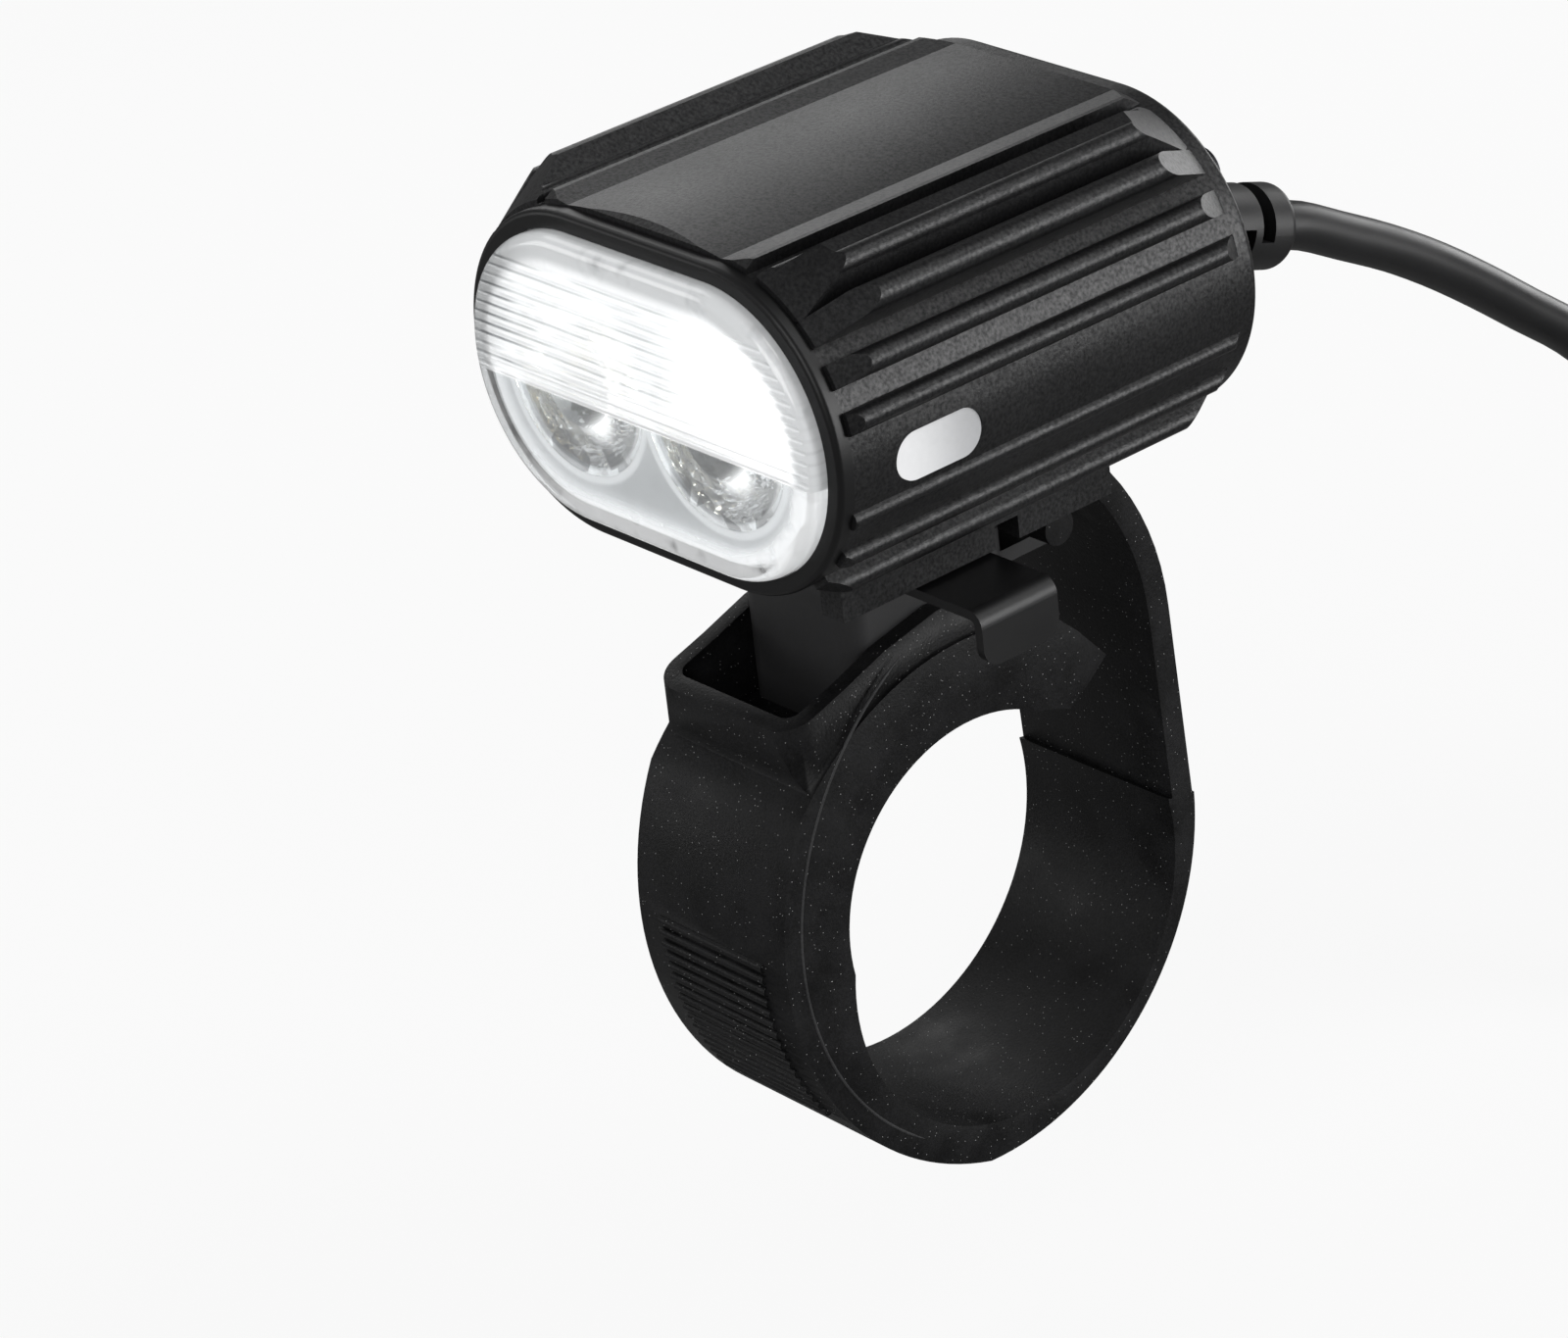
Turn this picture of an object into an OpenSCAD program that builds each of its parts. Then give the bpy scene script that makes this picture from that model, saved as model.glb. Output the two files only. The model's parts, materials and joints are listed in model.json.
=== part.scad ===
// Bicycle headlight: a ribbed aluminium lamp head on a rubber handlebar strap, with its lead.
// X runs along the handlebar, the lamp faces -Y, +Z is up. The origin is on the handlebar's axis.

/* [Handlebar] */
// Diameter of the handlebar that the strap holds
bar_d = 31.8; // [25:0.1:35]

/* [Lamp body] */
// Width of the lamp's front outline
lamp_w = 48.2; // [40:0.1:60]
// Height of the lamp's front outline
lamp_h = 30; // [24:0.1:40]
// Length of the ribbed housing
body_len = 45.7; // [35:0.1:60]
// Where the housing starts, in front of the handlebar's axis
body_front = 21.4; // [15:0.1:30]
// Height of the lamp's axis over the handlebar's axis
lamp_z = 52.8; // [48:0.1:70]
// Thickness of the housing's wall under the ribs
wall = 1.8; // [1.5:0.1:2.5]
// Slope of the bevel that cuts the ribs' ends
bevel_angle = 30; // [20:1:45]
// Height of the bevel's foot over the front outline
bevel_foot = 0.5; // [0.2:0.1:1]
// Crown of the smooth top band over the front outline
crown = 0.9; // [0.3:0.1:1.5]
// Half width of the smooth top band
band_half = 13.1; // [11:0.1:14]

/* [Front] */
// Thickness of the bezel ring
bezel_t = 1.5; // [1:0.1:3]
// Width of the bezel ring as seen from the front
bezel_w = 1.6; // [1:0.1:2.2]
// How far the lens stands out of the bezel
lens_out = 1.6; // [0.5:0.1:3]
// Thickness of the lens's flange
flange_t = 1.2; // [0.8:0.1:2]
// Thickness of the front seal
seal_t = 0.8; // [0.5:0.1:1.5]
// Distance between the flutes of the lens
flute_pitch = 1; // [0.8:0.1:1.5]
// Number of flutes in the lens
flutes = 12; // [0:1:12]
// Height of the lowest flute over the lamp's axis
flute_low = -1.2; // [-3:0.1:3]

/* [Optics] */
// Clearance between the two optics
optic_gap = 0.6; // [0.4:0.1:2]
// Length of a collimator
optic_len = 15.4; // [14:0.1:17]
// Thickness of the plate that holds the collimators
holder_t = 1.6; // [1.2:0.1:3]
// Thickness of the circuit boards
board_t = 1.4; // [1:0.1:2]
// Thickness of the metal core behind the light board
core_t = 6; // [4:0.1:8]
// Length of the posts that carry the driver board
post_len = 6; // [4:0.1:8]

/* [Side windows] */
// Length of a side window
window_len = 9.6; // [6:0.1:12]
// Height of a side window
window_h = 4.4; // [3:0.1:5]
// Centre of the side windows behind the housing's front
window_back = 9.5; // [8:0.1:11]
// Drop of the side windows under the lamp's axis
window_drop = 1.4; // [0:0.1:3]

/* [Rear] */
// Thickness of the rear cap
cap_t = 1.4; // [1:0.1:3]
// Sideways place of the lead's strain relief
relief_x = 10; // [6:0.1:12]
// Height of the strain relief over the lamp's axis
relief_up = 1.2; // [-3:0.1:4]
// Radius of the strain relief's sleeve
relief_r = 3.95; // [3.2:0.05:5]
// Angle at which the sleeve hangs down
relief_sag = 18; // [0:1:30]

/* [Slide mount] */
// Half distance between the outer faces of the rails
rail_outer = 16.6; // [15.8:0.1:18]
// Thickness of a rail
rail_t = 2.8; // [2.4:0.1:3.2]
// Depth of the rails under the lamp body
rail_drop = 2.8; // [2.6:0.1:4]
// Length of the rails
rail_len = 31.5; // [26:0.1:36]
// Start of the rails behind the housing's front
rail_back = 3.4; // [2:0.1:6]
// Depth of the groove in a rail
groove_depth = 0.9; // [0.6:0.1:1.2]
// Width of the shoe's tongue
tongue_t = 1.1; // [0.8:0.1:1.2]
// Running clearance of the shoe's tongues
run_gap = 0.1; // [0.05:0.01:0.15]
// Length of the shoe
shoe_len = 25.7; // [22:0.1:27]
// Thickness of the release lever
lever_t = 0.9; // [0.6:0.1:1.2]
// Width of the release lever
lever_w = 8.8; // [6:0.1:8.8]
// Reach of the release lever's tab from the middle
lever_reach = 24.2; // [22:0.1:26]
// Height of the tab that hangs from the lever
tab_h = 5.3; // [3:0.1:7]

/* [Rubber strap] */
// Width of the strap along the handlebar
strap_w = 20; // [16:0.1:26]
// Thickness of the strap's tail behind the handlebar
tail_t = 2.5; // [2:0.1:3]
// Thickness of the strap under the bar's front
strap_front = 7.5; // [6:0.1:8]
// Width of the tray's side walls
tray_wall = 1.7; // [1.2:0.1:2.5]
// Number of ribs in the thumb grip
grip_ribs = 16; // [0:1:18]
// Distance between the ribs of the thumb grip, in degrees
grip_step = 2.3; // [2:0.1:3]

/* [Lead] */
// Diameter of the lead
lead_d = 4.5; // [3.5:0.1:5]
// Turns of the tied coil
coil_turns = 3; // [2:1:4]
// Distance between the coil's turns
coil_pitch = 5.3; // [5.2:0.1:7]
// Diameter of the coil, at the middle of the lead
coil_d = 49.5; // [45:0.5:54]

/* [Hidden] */
$fn = 48;

black = [0.05, 0.05, 0.055];
rubber = [0.08, 0.08, 0.08];
clear = [0.9, 0.93, 0.95, 0.4];
steel = [0.72, 0.73, 0.75];
board_white = [0.93, 0.93, 0.9];
milky = [0.93, 0.94, 0.95];

// A small clearance between pieces that are fitted and don't move
fit = 0.03;
// A clearance that is left between pieces that move past each other
pass = 0.3;

bar_r = bar_d / 2;
core_r = lamp_h / 2;
end_x = (lamp_w - lamp_h) / 2;
cavity_r = core_r - wall;
y_front = -body_front;
y_back = y_front + body_len;
bevel = tan(bevel_angle);

// Ribs of one side: angle round the end's centre, reach of the crest, half width of the bead
RIBS = [[45, 4, 1.25], [30, 2.3, 1.1], [14.5, 1.2, 1], [-20, 0.6, 0.85], [-37, 1, 0.9],
        [-53, 1.9, 1]];
// The broad rib beside the top band, as offsets of its corners from the end's centre
rib_in = [4.9, 14.0];
rib_top = [7.9, 16.5];
rib_crest = [9.4, 14.9];
rib_crest_r = 1.1;
rib_foot = [9.0, 11.6];
ridge = [5.9, 14.4];
ridge_r = 0.75;

lens_r = core_r - bezel_w - 0.1;
lens_seat_r = core_r - 0.75;
y_seal = y_front + flange_t;
y_holder = y_seal + seal_t;
lens_wall = 1.6;
y_lens = y_front - bezel_t - lens_out;
y_optic = y_lens + lens_wall + 5 * fit;
optic_r = end_x - optic_gap / 2;
y_board = y_optic + optic_len + fit;
y_core = y_board + board_t;
y_driver = y_core + core_t + post_len;
optic_lip = 0.6;

window_y = y_front + window_back;
window_z = lamp_z - window_drop;
window_x = end_x + core_r;

y_cap = y_back + cap_t;
relief_z = lamp_z + relief_up;
relief_collar = 3.2;
cap_round = 0.65;
relief_len = 15.8;
slot_w = 1.6;
SCREWS = [for (side = [-1, 1], level = [-1, 1]) [side * (end_x + 7.9), level * 8.2]];
screw_r = 1.1;
screw_len = 8;

rail_inner = rail_outer - rail_t;
rail_front = y_front + rail_back;
rail_bottom = lamp_z - core_r - rail_drop;
groove_mid = rail_bottom + 1.45;
shoe_front = rail_front + 2.3;
shoe_z = rail_bottom;
shoe_t = 2.4;
shoe_screw_y = shoe_front + shoe_len - 5.7;
notch_along = 17.6;
notch_y = rail_front + notch_along;
notch_w = 2.8;
notch_h = 2.2;

// The block that carries the shoe stands in the strap's tray
block_corner = 2;
block_front = -10;
block_lip = 0.6;
block_lip_z = 32.2;
block_back = 9;
tray_floor_r = bar_r + 2.7;
tray_floor = 17.5;
hook_r = 1.55;
hook_turn = 37.6;
arm_z = 26.2;
arm_t = 1.4;

lever_top = rail_bottom - pass - 0.05;
lever_y = -9.4;
lever_x = -2;
pin_r = 0.8;
knuckle_r = 1.5;
pin_z = lever_top - knuckle_r;
slot_floor = 32.2;
bend_r = 1.5;
tab_corner = (tab_h - bend_r) / 2;
spring_x = 3.6;
spring_r = 1.3;
spring_wire = 0.5;
spring_low = 28.4;
spring_turns = 5;

// The strap's outline is where two round forms meet. Its tail rises straight and then curves
FRONT_ROUND = [strap_front - 0.5, 0.4];
front_round_r = bar_r + strap_front + FRONT_ROUND[0];
LOWER_ROUND = [0.3, -2.4];
lower_round_r = 26.3;
SLACK = [3.9, -5.8];
slack_r = bar_r + SLACK[0];
TAIL = [-2.8, 15.8];
tail_r = 28.1;
tail_lean = 3.2;
tail_low = 22;
// The saddle's rear end over the bar: its back, its tip and its underside
EAR = [[10.2, 22.9], [14.1, 19.2], [17.2, 15.6], [14.5, 13.5], [12.4, 12.3]];
tray_half = 9.3;
tray_front = -19.6;
tray_corner = 3;
tray_rim = [[tray_front, 22.2], [-13.1, 24.2], [-8, 26], [-1.6, 27.4], [4.5, 27.2], [10.6, 23.4],
            [13.5, 19.6], [8, 18], [-8, 18], [-17, 14], [-18.9, 18]];

block_half = tray_half - tray_wall - 0.1;
tail_band = hook_r + pass;
hook_at = TAIL + (tail_r - tail_t - tail_band) * [cos(hook_turn), sin(hook_turn)];

lead_r = lead_d / 2;
// Where the lead leaves the sleeve, and the way it hangs from there
LEAD = [[10, 41, 49.1], [10, 45, 47.7], [10, 50, 45], [10, 56, 41.7], [10, 62, 37.9],
        [10, 68, 33.6], [10, 74, 29], [10, 80, 24.4], [10, 84.4, 19.8], [10, 87.2, 14],
        [10, 88.3, 8], [10, 88.3, 4]];
lead_end = LEAD[len(LEAD) - 1];
coil_r = coil_d / 2;
coil_y = lead_end[1] + coil_r;
coil_z = lead_end[2] - lead_d;
coil_steps = 24;
tail_drop = 14;

function along(a, b, t) = a + (b - a) * t;
function unit(v) = v / norm(v);
// The way a path runs at its point i
function heading(path, i) = unit(path[min(i + 1, len(path) - 1)] - path[max(i - 1, 0)]);
// A point of a smooth curve through a path's points
function smooth(p, i, t) =
    let (a = p[max(i - 1, 0)], b = p[i], c = p[i + 1], d = p[min(i + 2, len(p) - 1)])
    0.5 * (2 * b + (c - a) * t + (2 * a - 5 * b + 4 * c - d) * t * t
           + (3 * b - a - 3 * c + d) * t * t * t);
function smoothed(p, steps) = concat(
    [for (i = [0 : len(p) - 2], k = [0 : steps - 1]) smooth(p, i, k / steps)],
    [p[len(p) - 1]]);
// The coil starts and ends with a straight stretch
function coil_path() = concat(
    [[lead_end[0], lead_end[1], coil_z + lead_d]],
    [for (k = [0 : coil_steps * coil_turns])
        let (turn = k / coil_steps, a = 180 + 360 * turn)
        [lead_end[0] + coil_pitch * turn, coil_y + coil_r * cos(a), coil_z + coil_r * sin(a)]],
    [for (drop = [lead_d, tail_drop])
        [lead_end[0] + coil_pitch * coil_turns, lead_end[1], coil_z - drop]]);
function spring_path() = [for (k = [0 : 10 * spring_turns])
    let (a = 36 * k)
    [spring_x + spring_r * cos(a), lever_y + lever_w / 2 + spring_r * sin(a),
     along(spring_low + spring_wire / 2, lever_top - lever_t - spring_wire / 2,
           k / (10 * spring_turns))]];

function on_arc(centre, r, a) = centre + r * [cos(a), sin(a)];
// One side of the tail: a straight stretch, the wide bend and the turn over the hook
function tail_side(r, turn_r) = concat(
    [on_arc(TAIL, r, tail_lean) + tail_low * [sin(tail_lean), -cos(tail_lean)]],
    [for (k = [0 : 7]) on_arc(TAIL, r, along(tail_lean, hook_turn, k / 8))],
    [for (k = [0 : 10]) on_arc(hook_at, turn_r, along(hook_turn, 180, k / 10))]);

// The least distance between stretches of the coil that are not neighbours
coil_points = coil_path();
coil_gap = min([for (i = [0 : len(coil_points) - 1], j = [i + 8 : 1 : len(coil_points) - 1])
    norm(coil_points[i] - coil_points[j])]) - lead_d;
echo(coil_gap = coil_gap);

// An unbroken tube along a path
module tube(path, r, sides, side_way = [1, 0, 0]) {
    count = len(path);
    rings = [for (i = [0 : count - 1])
        let (t = heading(path, i), u = unit(side_way - (side_way * t) * t), v = cross(t, u))
        for (k = [0 : sides - 1])
            path[i] + r * (cos(360 * k / sides) * u + sin(360 * k / sides) * v)];
    sides_of = [for (i = [0 : count - 2], k = [0 : sides - 1])
        let (a = i * sides + k, b = i * sides + (k + 1) % sides)
        each [[a, b, a + sides], [b, b + sides, a + sides]]];
    start = [for (k = [1 : sides - 2]) [0, k + 1, k]];
    last = (count - 1) * sides;
    end = [for (k = [1 : sides - 2]) [last, last + k, last + k + 1]];
    polyhedron([for (p = rings) p], [for (f = concat(sides_of, start, end)) [f[0], f[2], f[1]]]);
}

// A sketch in X and Z, drawn out along +Y from y, on the lamp's axis
module along_y(y, length) {
    translate([0, y + length, lamp_z]) rotate([90, 0, 0]) linear_extrude(length) children();
}

// A sketch in Y and Z, drawn out along X about the middle
module across(width) {
    translate([-width / 2, 0, 0]) rotate([90, 0, 90]) linear_extrude(width) children();
}

// A round form on the lamp's axis plane, with its axis along +Y
module turned(x, z, y = 0) {
    translate([x, y, z]) rotate([-90, 0, 0]) rotate_extrude() children();
}

module rod(x, y, z, r, length) {
    translate([x, y, z]) rotate([-90, 0, 0]) cylinder(h = length, r = r);
}

// The flat-sided oval of the lamp's front
module oval(r) {
    for (side = [-1, 1]) translate([side * end_x, 0]) circle(r);
    square([2 * end_x, 2 * r], center = true);
}

// A half outline, radius against length, carried round the oval
module oval_turned() {
    for (side = [-1, 1]) turned(side * end_x, lamp_z) children();
    translate([end_x, 0, lamp_z]) rotate([0, -90, 0]) linear_extrude(2 * end_x) {
        children();
        mirror([1, 0]) children();
    }
}

module both_sides() {
    children();
    mirror([1, 0]) children();
}

// Smooth top band with its turned-up edges
module top_band() {
    arc_r = 66;
    intersection() {
        translate([0, core_r + crown - arc_r]) circle(arc_r, $fn = 180);
        translate([-band_half, 0]) square([2 * band_half, core_r + crown]);
    }
    both_sides() polygon([[band_half - 3.3, core_r - 1], [band_half, core_r - 1],
        [band_half, core_r + 0.55], [band_half - 0.5, core_r + 0.55], [band_half - 3.3, core_r + 0.1]]);
}

// A bead on a straight web, which stands on the oval
module bead(angle, rise, half) {
    reach = core_r + rise - half;
    translate([end_x, 0]) rotate(angle) {
        translate([core_r - wall / 2, -half]) square([reach - core_r + wall / 2, 2 * half]);
        translate([reach, 0]) circle(half);
    }
}

module broad_rib() {
    translate([end_x, 0]) {
        polygon([rib_in, rib_top, rib_crest + [0.4, 0.9], rib_foot]);
        translate(rib_crest) circle(rib_crest_r);
        polygon([rib_foot, rib_in, rib_crest - [0.6, 0.6], rib_crest + [1.05, -0.3],
                 rib_foot + [1.2, 0.2]]);
        translate(ridge) circle(ridge_r);
        translate(ridge - [ridge_r, 2]) square([2 * ridge_r, 2]);
    }
}

module ribbed_section() {
    oval(core_r);
    top_band();
    both_sides() {
        broad_rib();
        for (rib = RIBS) bead(rib[0], rib[1], rib[2]);
    }
}

// What the bevels leave of the ribs' ends
module bevelled_space() {
    rise = 5;
    front_r = core_r + bevel_foot;
    oval_turned() polygon([[0, y_front], [front_r, y_front],
        [front_r + rise, y_front + rise / bevel], [core_r + rise, y_back - bevel_foot - rise / bevel],
        [core_r, y_back - bevel_foot], [core_r, y_back], [0, y_back]]);
}

module rail_pair() {
    for (side = [-1, 1])
        translate([side > 0 ? rail_inner : -rail_outer, rail_front, rail_bottom])
            cube([rail_t, rail_len, rail_drop + 3.2]);
}

module pill(length, height) {
    for (side = [-1, 1]) translate([side * (length - height) / 2, 0]) circle(height / 2);
    square([length - height, height], center = true);
}

// A pill drawn out along X from x, at a side window's place
module window_bar(x, length, grow) {
    translate([x, window_y, window_z]) rotate([90, 0, 90]) linear_extrude(length)
        pill(window_len + 2 * grow, window_h + 2 * grow);
}

module housing() {
    boss_len = 10;
    color(black) difference() {
        union() {
            intersection() {
                along_y(y_front, body_len) ribbed_section();
                bevelled_space();
            }
            rail_pair();
        }
        difference() {
            along_y(y_front - 1, body_len + 2) oval(cavity_r);
            for (s = SCREWS) rod(s[0], y_back - boss_len, lamp_z + s[1], screw_r + 1.6, boss_len);
        }
        along_y(y_front - 1, flange_t + seal_t + 1) oval(lens_seat_r + fit);
        along_y(y_back - seal_t, seal_t + 1) oval(cavity_r + 1);
        for (s = SCREWS) rod(s[0], y_back - boss_len - 1, lamp_z + s[1], screw_r + fit, boss_len + 2);
        for (side = [0, 1]) mirror([side, 0, 0]) window_bar(end_x + cavity_r - 3, 6, fit);
        for (side = [-1, 1])
            translate([side * (rail_inner - 1 + (groove_depth + 1) / 2), rail_front + 2 + rail_len / 2,
                       groove_mid])
                cube([groove_depth + 1, rail_len, tongue_t + 2 * run_gap], center = true);
        translate([rail_inner - 1, notch_y, rail_bottom - 1]) cube([rail_t + 2, notch_w, notch_h + 1]);
    }
}

module front_bezel() {
    round_r = 0.5;
    color(black) difference() {
        oval_turned() {
            translate([0, y_front - bezel_t + round_r]) square([core_r, bezel_t - round_r]);
            translate([0, y_front - bezel_t]) square([core_r - round_r, bezel_t]);
            translate([core_r - round_r, y_front - bezel_t + round_r]) circle(round_r);
        }
        along_y(y_front - bezel_t - 1, bezel_t + 2) oval(core_r - bezel_w);
    }
}

module lens_cover() {
    front = y_lens;
    round_r = 1.1;
    color(clear) difference() {
        union() {
            oval_turned() {
                translate([0, front + round_r]) square([lens_r, y_front - front - round_r]);
                translate([0, front]) square([lens_r - round_r, y_front - front]);
                translate([lens_r - round_r, front + round_r]) circle(round_r);
            }
            along_y(y_front, flange_t) oval(lens_seat_r);
        }
        along_y(front + lens_wall, lens_out + bezel_t + flange_t) oval(lens_r - lens_wall);
        for (k = [0 : 1 : flutes - 1])
            translate([-end_x - core_r, front - 0.25, lamp_z + flute_low + flute_pitch * k])
                rotate([0, 90, 0]) cylinder(h = 2 * (end_x + core_r), r = flute_pitch * 0.42);
    }
}

module lens_gasket() {
    color(rubber) along_y(y_seal, seal_t) difference() {
        oval(lens_seat_r);
        oval(cavity_r - 0.8);
    }
}

// A plate close behind the lens, with a wall back to the flange that the seal presses
module optic_holder() {
    plate_r = lens_r - lens_wall - 2 * fit;
    color(milky) difference() {
        union() {
            along_y(y_optic, y_holder - y_optic + 0.5) oval(plate_r);
            along_y(y_holder, holder_t) oval(cavity_r - fit);
        }
        along_y(y_optic + holder_t, y_holder - y_optic + 1) oval(plate_r - 1);
        for (side = [-1, 1]) {
            rod(side * end_x, y_optic - 1, lamp_z, optic_r + fit, holder_t - optic_lip + 1);
            rod(side * end_x, y_optic - 1, lamp_z, optic_r - optic_lip, holder_t + 2);
        }
    }
}

// A clear collimator: a rim, a cone with a hollow for the light source, and a front cup
module collimator(side) {
    foot_r = 3.6;
    rim_t = holder_t - optic_lip;
    color(clear) difference() {
        turned(side * end_x, lamp_z, y_optic) difference() {
            union() {
                square([optic_r, rim_t]);
                polygon([[0, 0], [optic_r - optic_lip - fit, rim_t], [optic_r - 1, holder_t + 0.4],
                    [foot_r + 2.6, optic_len * 0.6], [foot_r, optic_len - 1],
                    [foot_r, optic_len], [0, optic_len]]);
            }
            polygon([[-1, -1], [4.6, -1], [3.4, 4.6], [-1, 4.6]]);
        }
        rod(side * end_x, y_optic + optic_len - 3.2, lamp_z, 2.8, 4);
    }
}

module led_board() {
    color(board_white) difference() {
        along_y(y_board, board_t) oval(cavity_r - 0.4);
        for (level = [-1, 1]) rod(0, y_board - 1, lamp_z + level * 9.6, 1.5 + fit, board_t + 2);
        rod(0, y_board - 1, lamp_z, 1.2, board_t + 2);
    }
}

module led(side) {
    package = 3.5;
    color([0.95, 0.85, 0.35]) {
        translate([side * end_x - package / 2, y_board - 0.7, lamp_z - package / 2])
            cube([package, 0.7, package]);
        intersection() {
            translate([side * end_x, y_board - 0.7, lamp_z]) sphere(1.5);
            translate([side * end_x - 2, y_board - 2.3, lamp_z - 2]) cube([4, 2.2, 4]);
        }
    }
}

module heat_core() {
    color(steel) difference() {
        union() {
            along_y(y_core, core_t) oval(cavity_r - fit);
            for (side = [-1, 1]) rod(side * 14, y_core + core_t - 1, lamp_z, 2.2, post_len + 1);
        }
        for (level = [-1, 1]) rod(0, y_core - 1, lamp_z + level * 9.6, 1.2 + fit, 5.5);
        for (side = [-1, 1]) rod(side * 14, y_driver - 5, lamp_z, 1 + fit, 6);
        rod(0, y_core - 1, lamp_z, 1.2, core_t + 2);
    }
}

module core_screws() {
    color(steel) for (level = [-1, 1]) {
        rod(0, y_board - 1.3, lamp_z + level * 9.6, 2.3, 1.3);
        rod(0, y_board - 1, lamp_z + level * 9.6, 1.2, board_t + 5);
    }
}

module driver_board() {
    color([0.1, 0.35, 0.16]) difference() {
        along_y(y_driver, board_t) oval(cavity_r - 1);
        for (side = [-1, 1]) rod(side * 14, y_driver - 1, lamp_z, 1.2, board_t + 2);
        for (level = [-1, 1])
            rod(relief_x + level * 1.1, y_driver - 1, lamp_z + relief_up, 0.75, board_t + 2);
    }
}

// A coil, a chip and a capacitor on the driver board
module driver_parts() {
    top = y_driver + board_t;
    color([0.2, 0.2, 0.22]) {
        rod(-5.5, top, lamp_z + 3, 4.4, 4);
        translate([-1, top, lamp_z - 8.5]) cube([6, 1.4, 5]);
        rod(-7, top, lamp_z - 7, 2.4, 4.6);
    }
}

module board_screws() {
    color(steel) for (side = [-1, 1]) {
        rod(side * 14, y_driver + board_t, lamp_z, 1.9, 1.2);
        rod(side * 14, y_driver - 4.5, lamp_z, 1, board_t + 5);
    }
}

// The lead's two cores, from the strain relief to the driver board
module lead_wires() {
    color([0.7, 0.12, 0.1]) for (level = [-1, 1])
        rod(relief_x + level * 1.1, y_driver, relief_z, 0.65, y_back - 2 - y_driver);
}

module side_window() {
    face = window_x - 0.15;
    color(milky) {
        window_bar(face - wall, wall, 0);
        window_bar(end_x + cavity_r - 1.6, face - end_x - cavity_r + 1.2, -0.5);
    }
}

// Two small boards on edge, each with a light source behind its window
module side_leds() {
    depth = y_board - window_y + 3;
    color(board_white) for (side = [0, 1]) mirror([side, 0, 0]) {
        translate([end_x + 10.4, y_board - depth, window_z - 3]) cube([0.8, depth, 6]);
        translate([end_x + 11.1, window_y - 1.5, window_z - 1]) cube([0.4, 3, 2]);
    }
}

module rear_gasket() {
    color(rubber) along_y(y_back - seal_t, seal_t) difference() {
        oval(cavity_r + 1 - fit);
        oval(cavity_r + fit);
    }
}

module rear_cap() {
    spigot = 2;
    color(black) difference() {
        union() {
            oval_turned() {
                translate([0, y_back]) square([core_r, cap_t - cap_round]);
                translate([0, y_back]) square([core_r - cap_round, cap_t]);
                translate([core_r - cap_round, y_cap - cap_round]) circle(cap_round);
            }
            difference() {
                along_y(y_back - spigot, spigot + 0.5) oval(cavity_r - fit);
                along_y(y_back - spigot - 1, spigot + 1) oval(cavity_r - 1.4);
                for (s = SCREWS)
                    rod(s[0], y_back - spigot - 1, lamp_z + s[1], screw_r + 1.6 + fit, spigot + 1);
            }
        }
        for (s = SCREWS) rod(s[0], y_back - 3, lamp_z + s[1], screw_r + 0.15, cap_t + 4);
        rod(relief_x, y_back - 3, relief_z, relief_r - 0.8, cap_t + 4);
    }
}

module rear_screws() {
    color(steel) for (s = SCREWS) difference() {
        union() {
            rod(s[0], y_cap, lamp_z + s[1], 2.1, 1.3);
            rod(s[0], y_cap - screw_len, lamp_z + s[1], screw_r, screw_len + 0.5);
        }
        translate([s[0], y_cap + 0.5, lamp_z + s[1]]) rotate([-90, 0, 0]) cylinder(h = 2, r = 1, $fn = 6);
    }
}

// The sleeve stands on its lead end and has slots from either side in turn
module relief_sleeve() {
    difference() {
        union() {
            translate([0, 0, -relief_len]) cylinder(h = relief_len - 0.9, r = relief_r);
            translate([0, 0, -1.5]) cylinder(h = 1.5, r = relief_r - 0.9);
            translate([0, 0, -0.9]) rotate_extrude() intersection() {
                translate([relief_r - 0.9, 0]) circle(0.9);
                translate([0, -1]) square([relief_r, 1.9]);
            }
        }
        for (k = [0 : 3]) translate([0, 0, -3.1 - slot_w - k * 2.5]) difference() {
            translate([-relief_r - 1, k % 2 == 0 ? -relief_r - 1 : -0.6, 0])
                cube([2 * relief_r + 2, relief_r + 1.6, slot_w]);
            translate([0, 0, -1]) cylinder(h = slot_w + 2, r = relief_r - 1.35);
        }
    }
}

// A plug through the cap, a collar on it and the sagging sleeve
module strain_relief() {
    color(rubber) {
        rod(relief_x, y_back - 2, relief_z, relief_r - 0.8 - fit, cap_t + 3);
        rod(relief_x, y_back - 2, relief_z, relief_r, 2 - fit);
        rod(relief_x, y_cap, relief_z, relief_r + 0.5, relief_collar - 1);
        difference() {
            translate([relief_x, LEAD[0][1], LEAD[0][2]]) rotate([-90 - relief_sag, 0, 0]) relief_sleeve();
            translate([relief_x - 10, y_cap - 5, relief_z - 10]) cube([20, 5, 20]);
        }
    }
}

module cable() {
    color(rubber) tube(smoothed(LEAD, 2), lead_r, 8);
}

module cable_coil() {
    color(rubber) tube(coil_points, lead_r, 6);
}

// A tie round the strands at the coil's far side
module coil_tie() {
    strands = coil_turns;
    tie_t = 1.2;
    room = lead_d + 0.5;
    middle = lead_end[0] + coil_pitch * strands / 2;
    width = coil_pitch * (strands - 1) + room;
    color(rubber) translate([middle, coil_y + coil_r - 0.05, coil_z]) difference() {
        cube([width + 2 * tie_t, room + 2 * tie_t, 6], center = true);
        cube([width, room, 7], center = true);
    }
}

plug_x = lead_end[0] + coil_pitch * coil_turns;
plug_top = coil_z - tail_drop;
plug_taper = 8;
plug_len = 17;
plug_nose = 6;

module plug_relief() {
    color(rubber) translate([plug_x, lead_end[1], plug_top - plug_taper])
        cylinder(h = plug_taper, r1 = 3.9, r2 = lead_r + 0.5);
}

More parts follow.
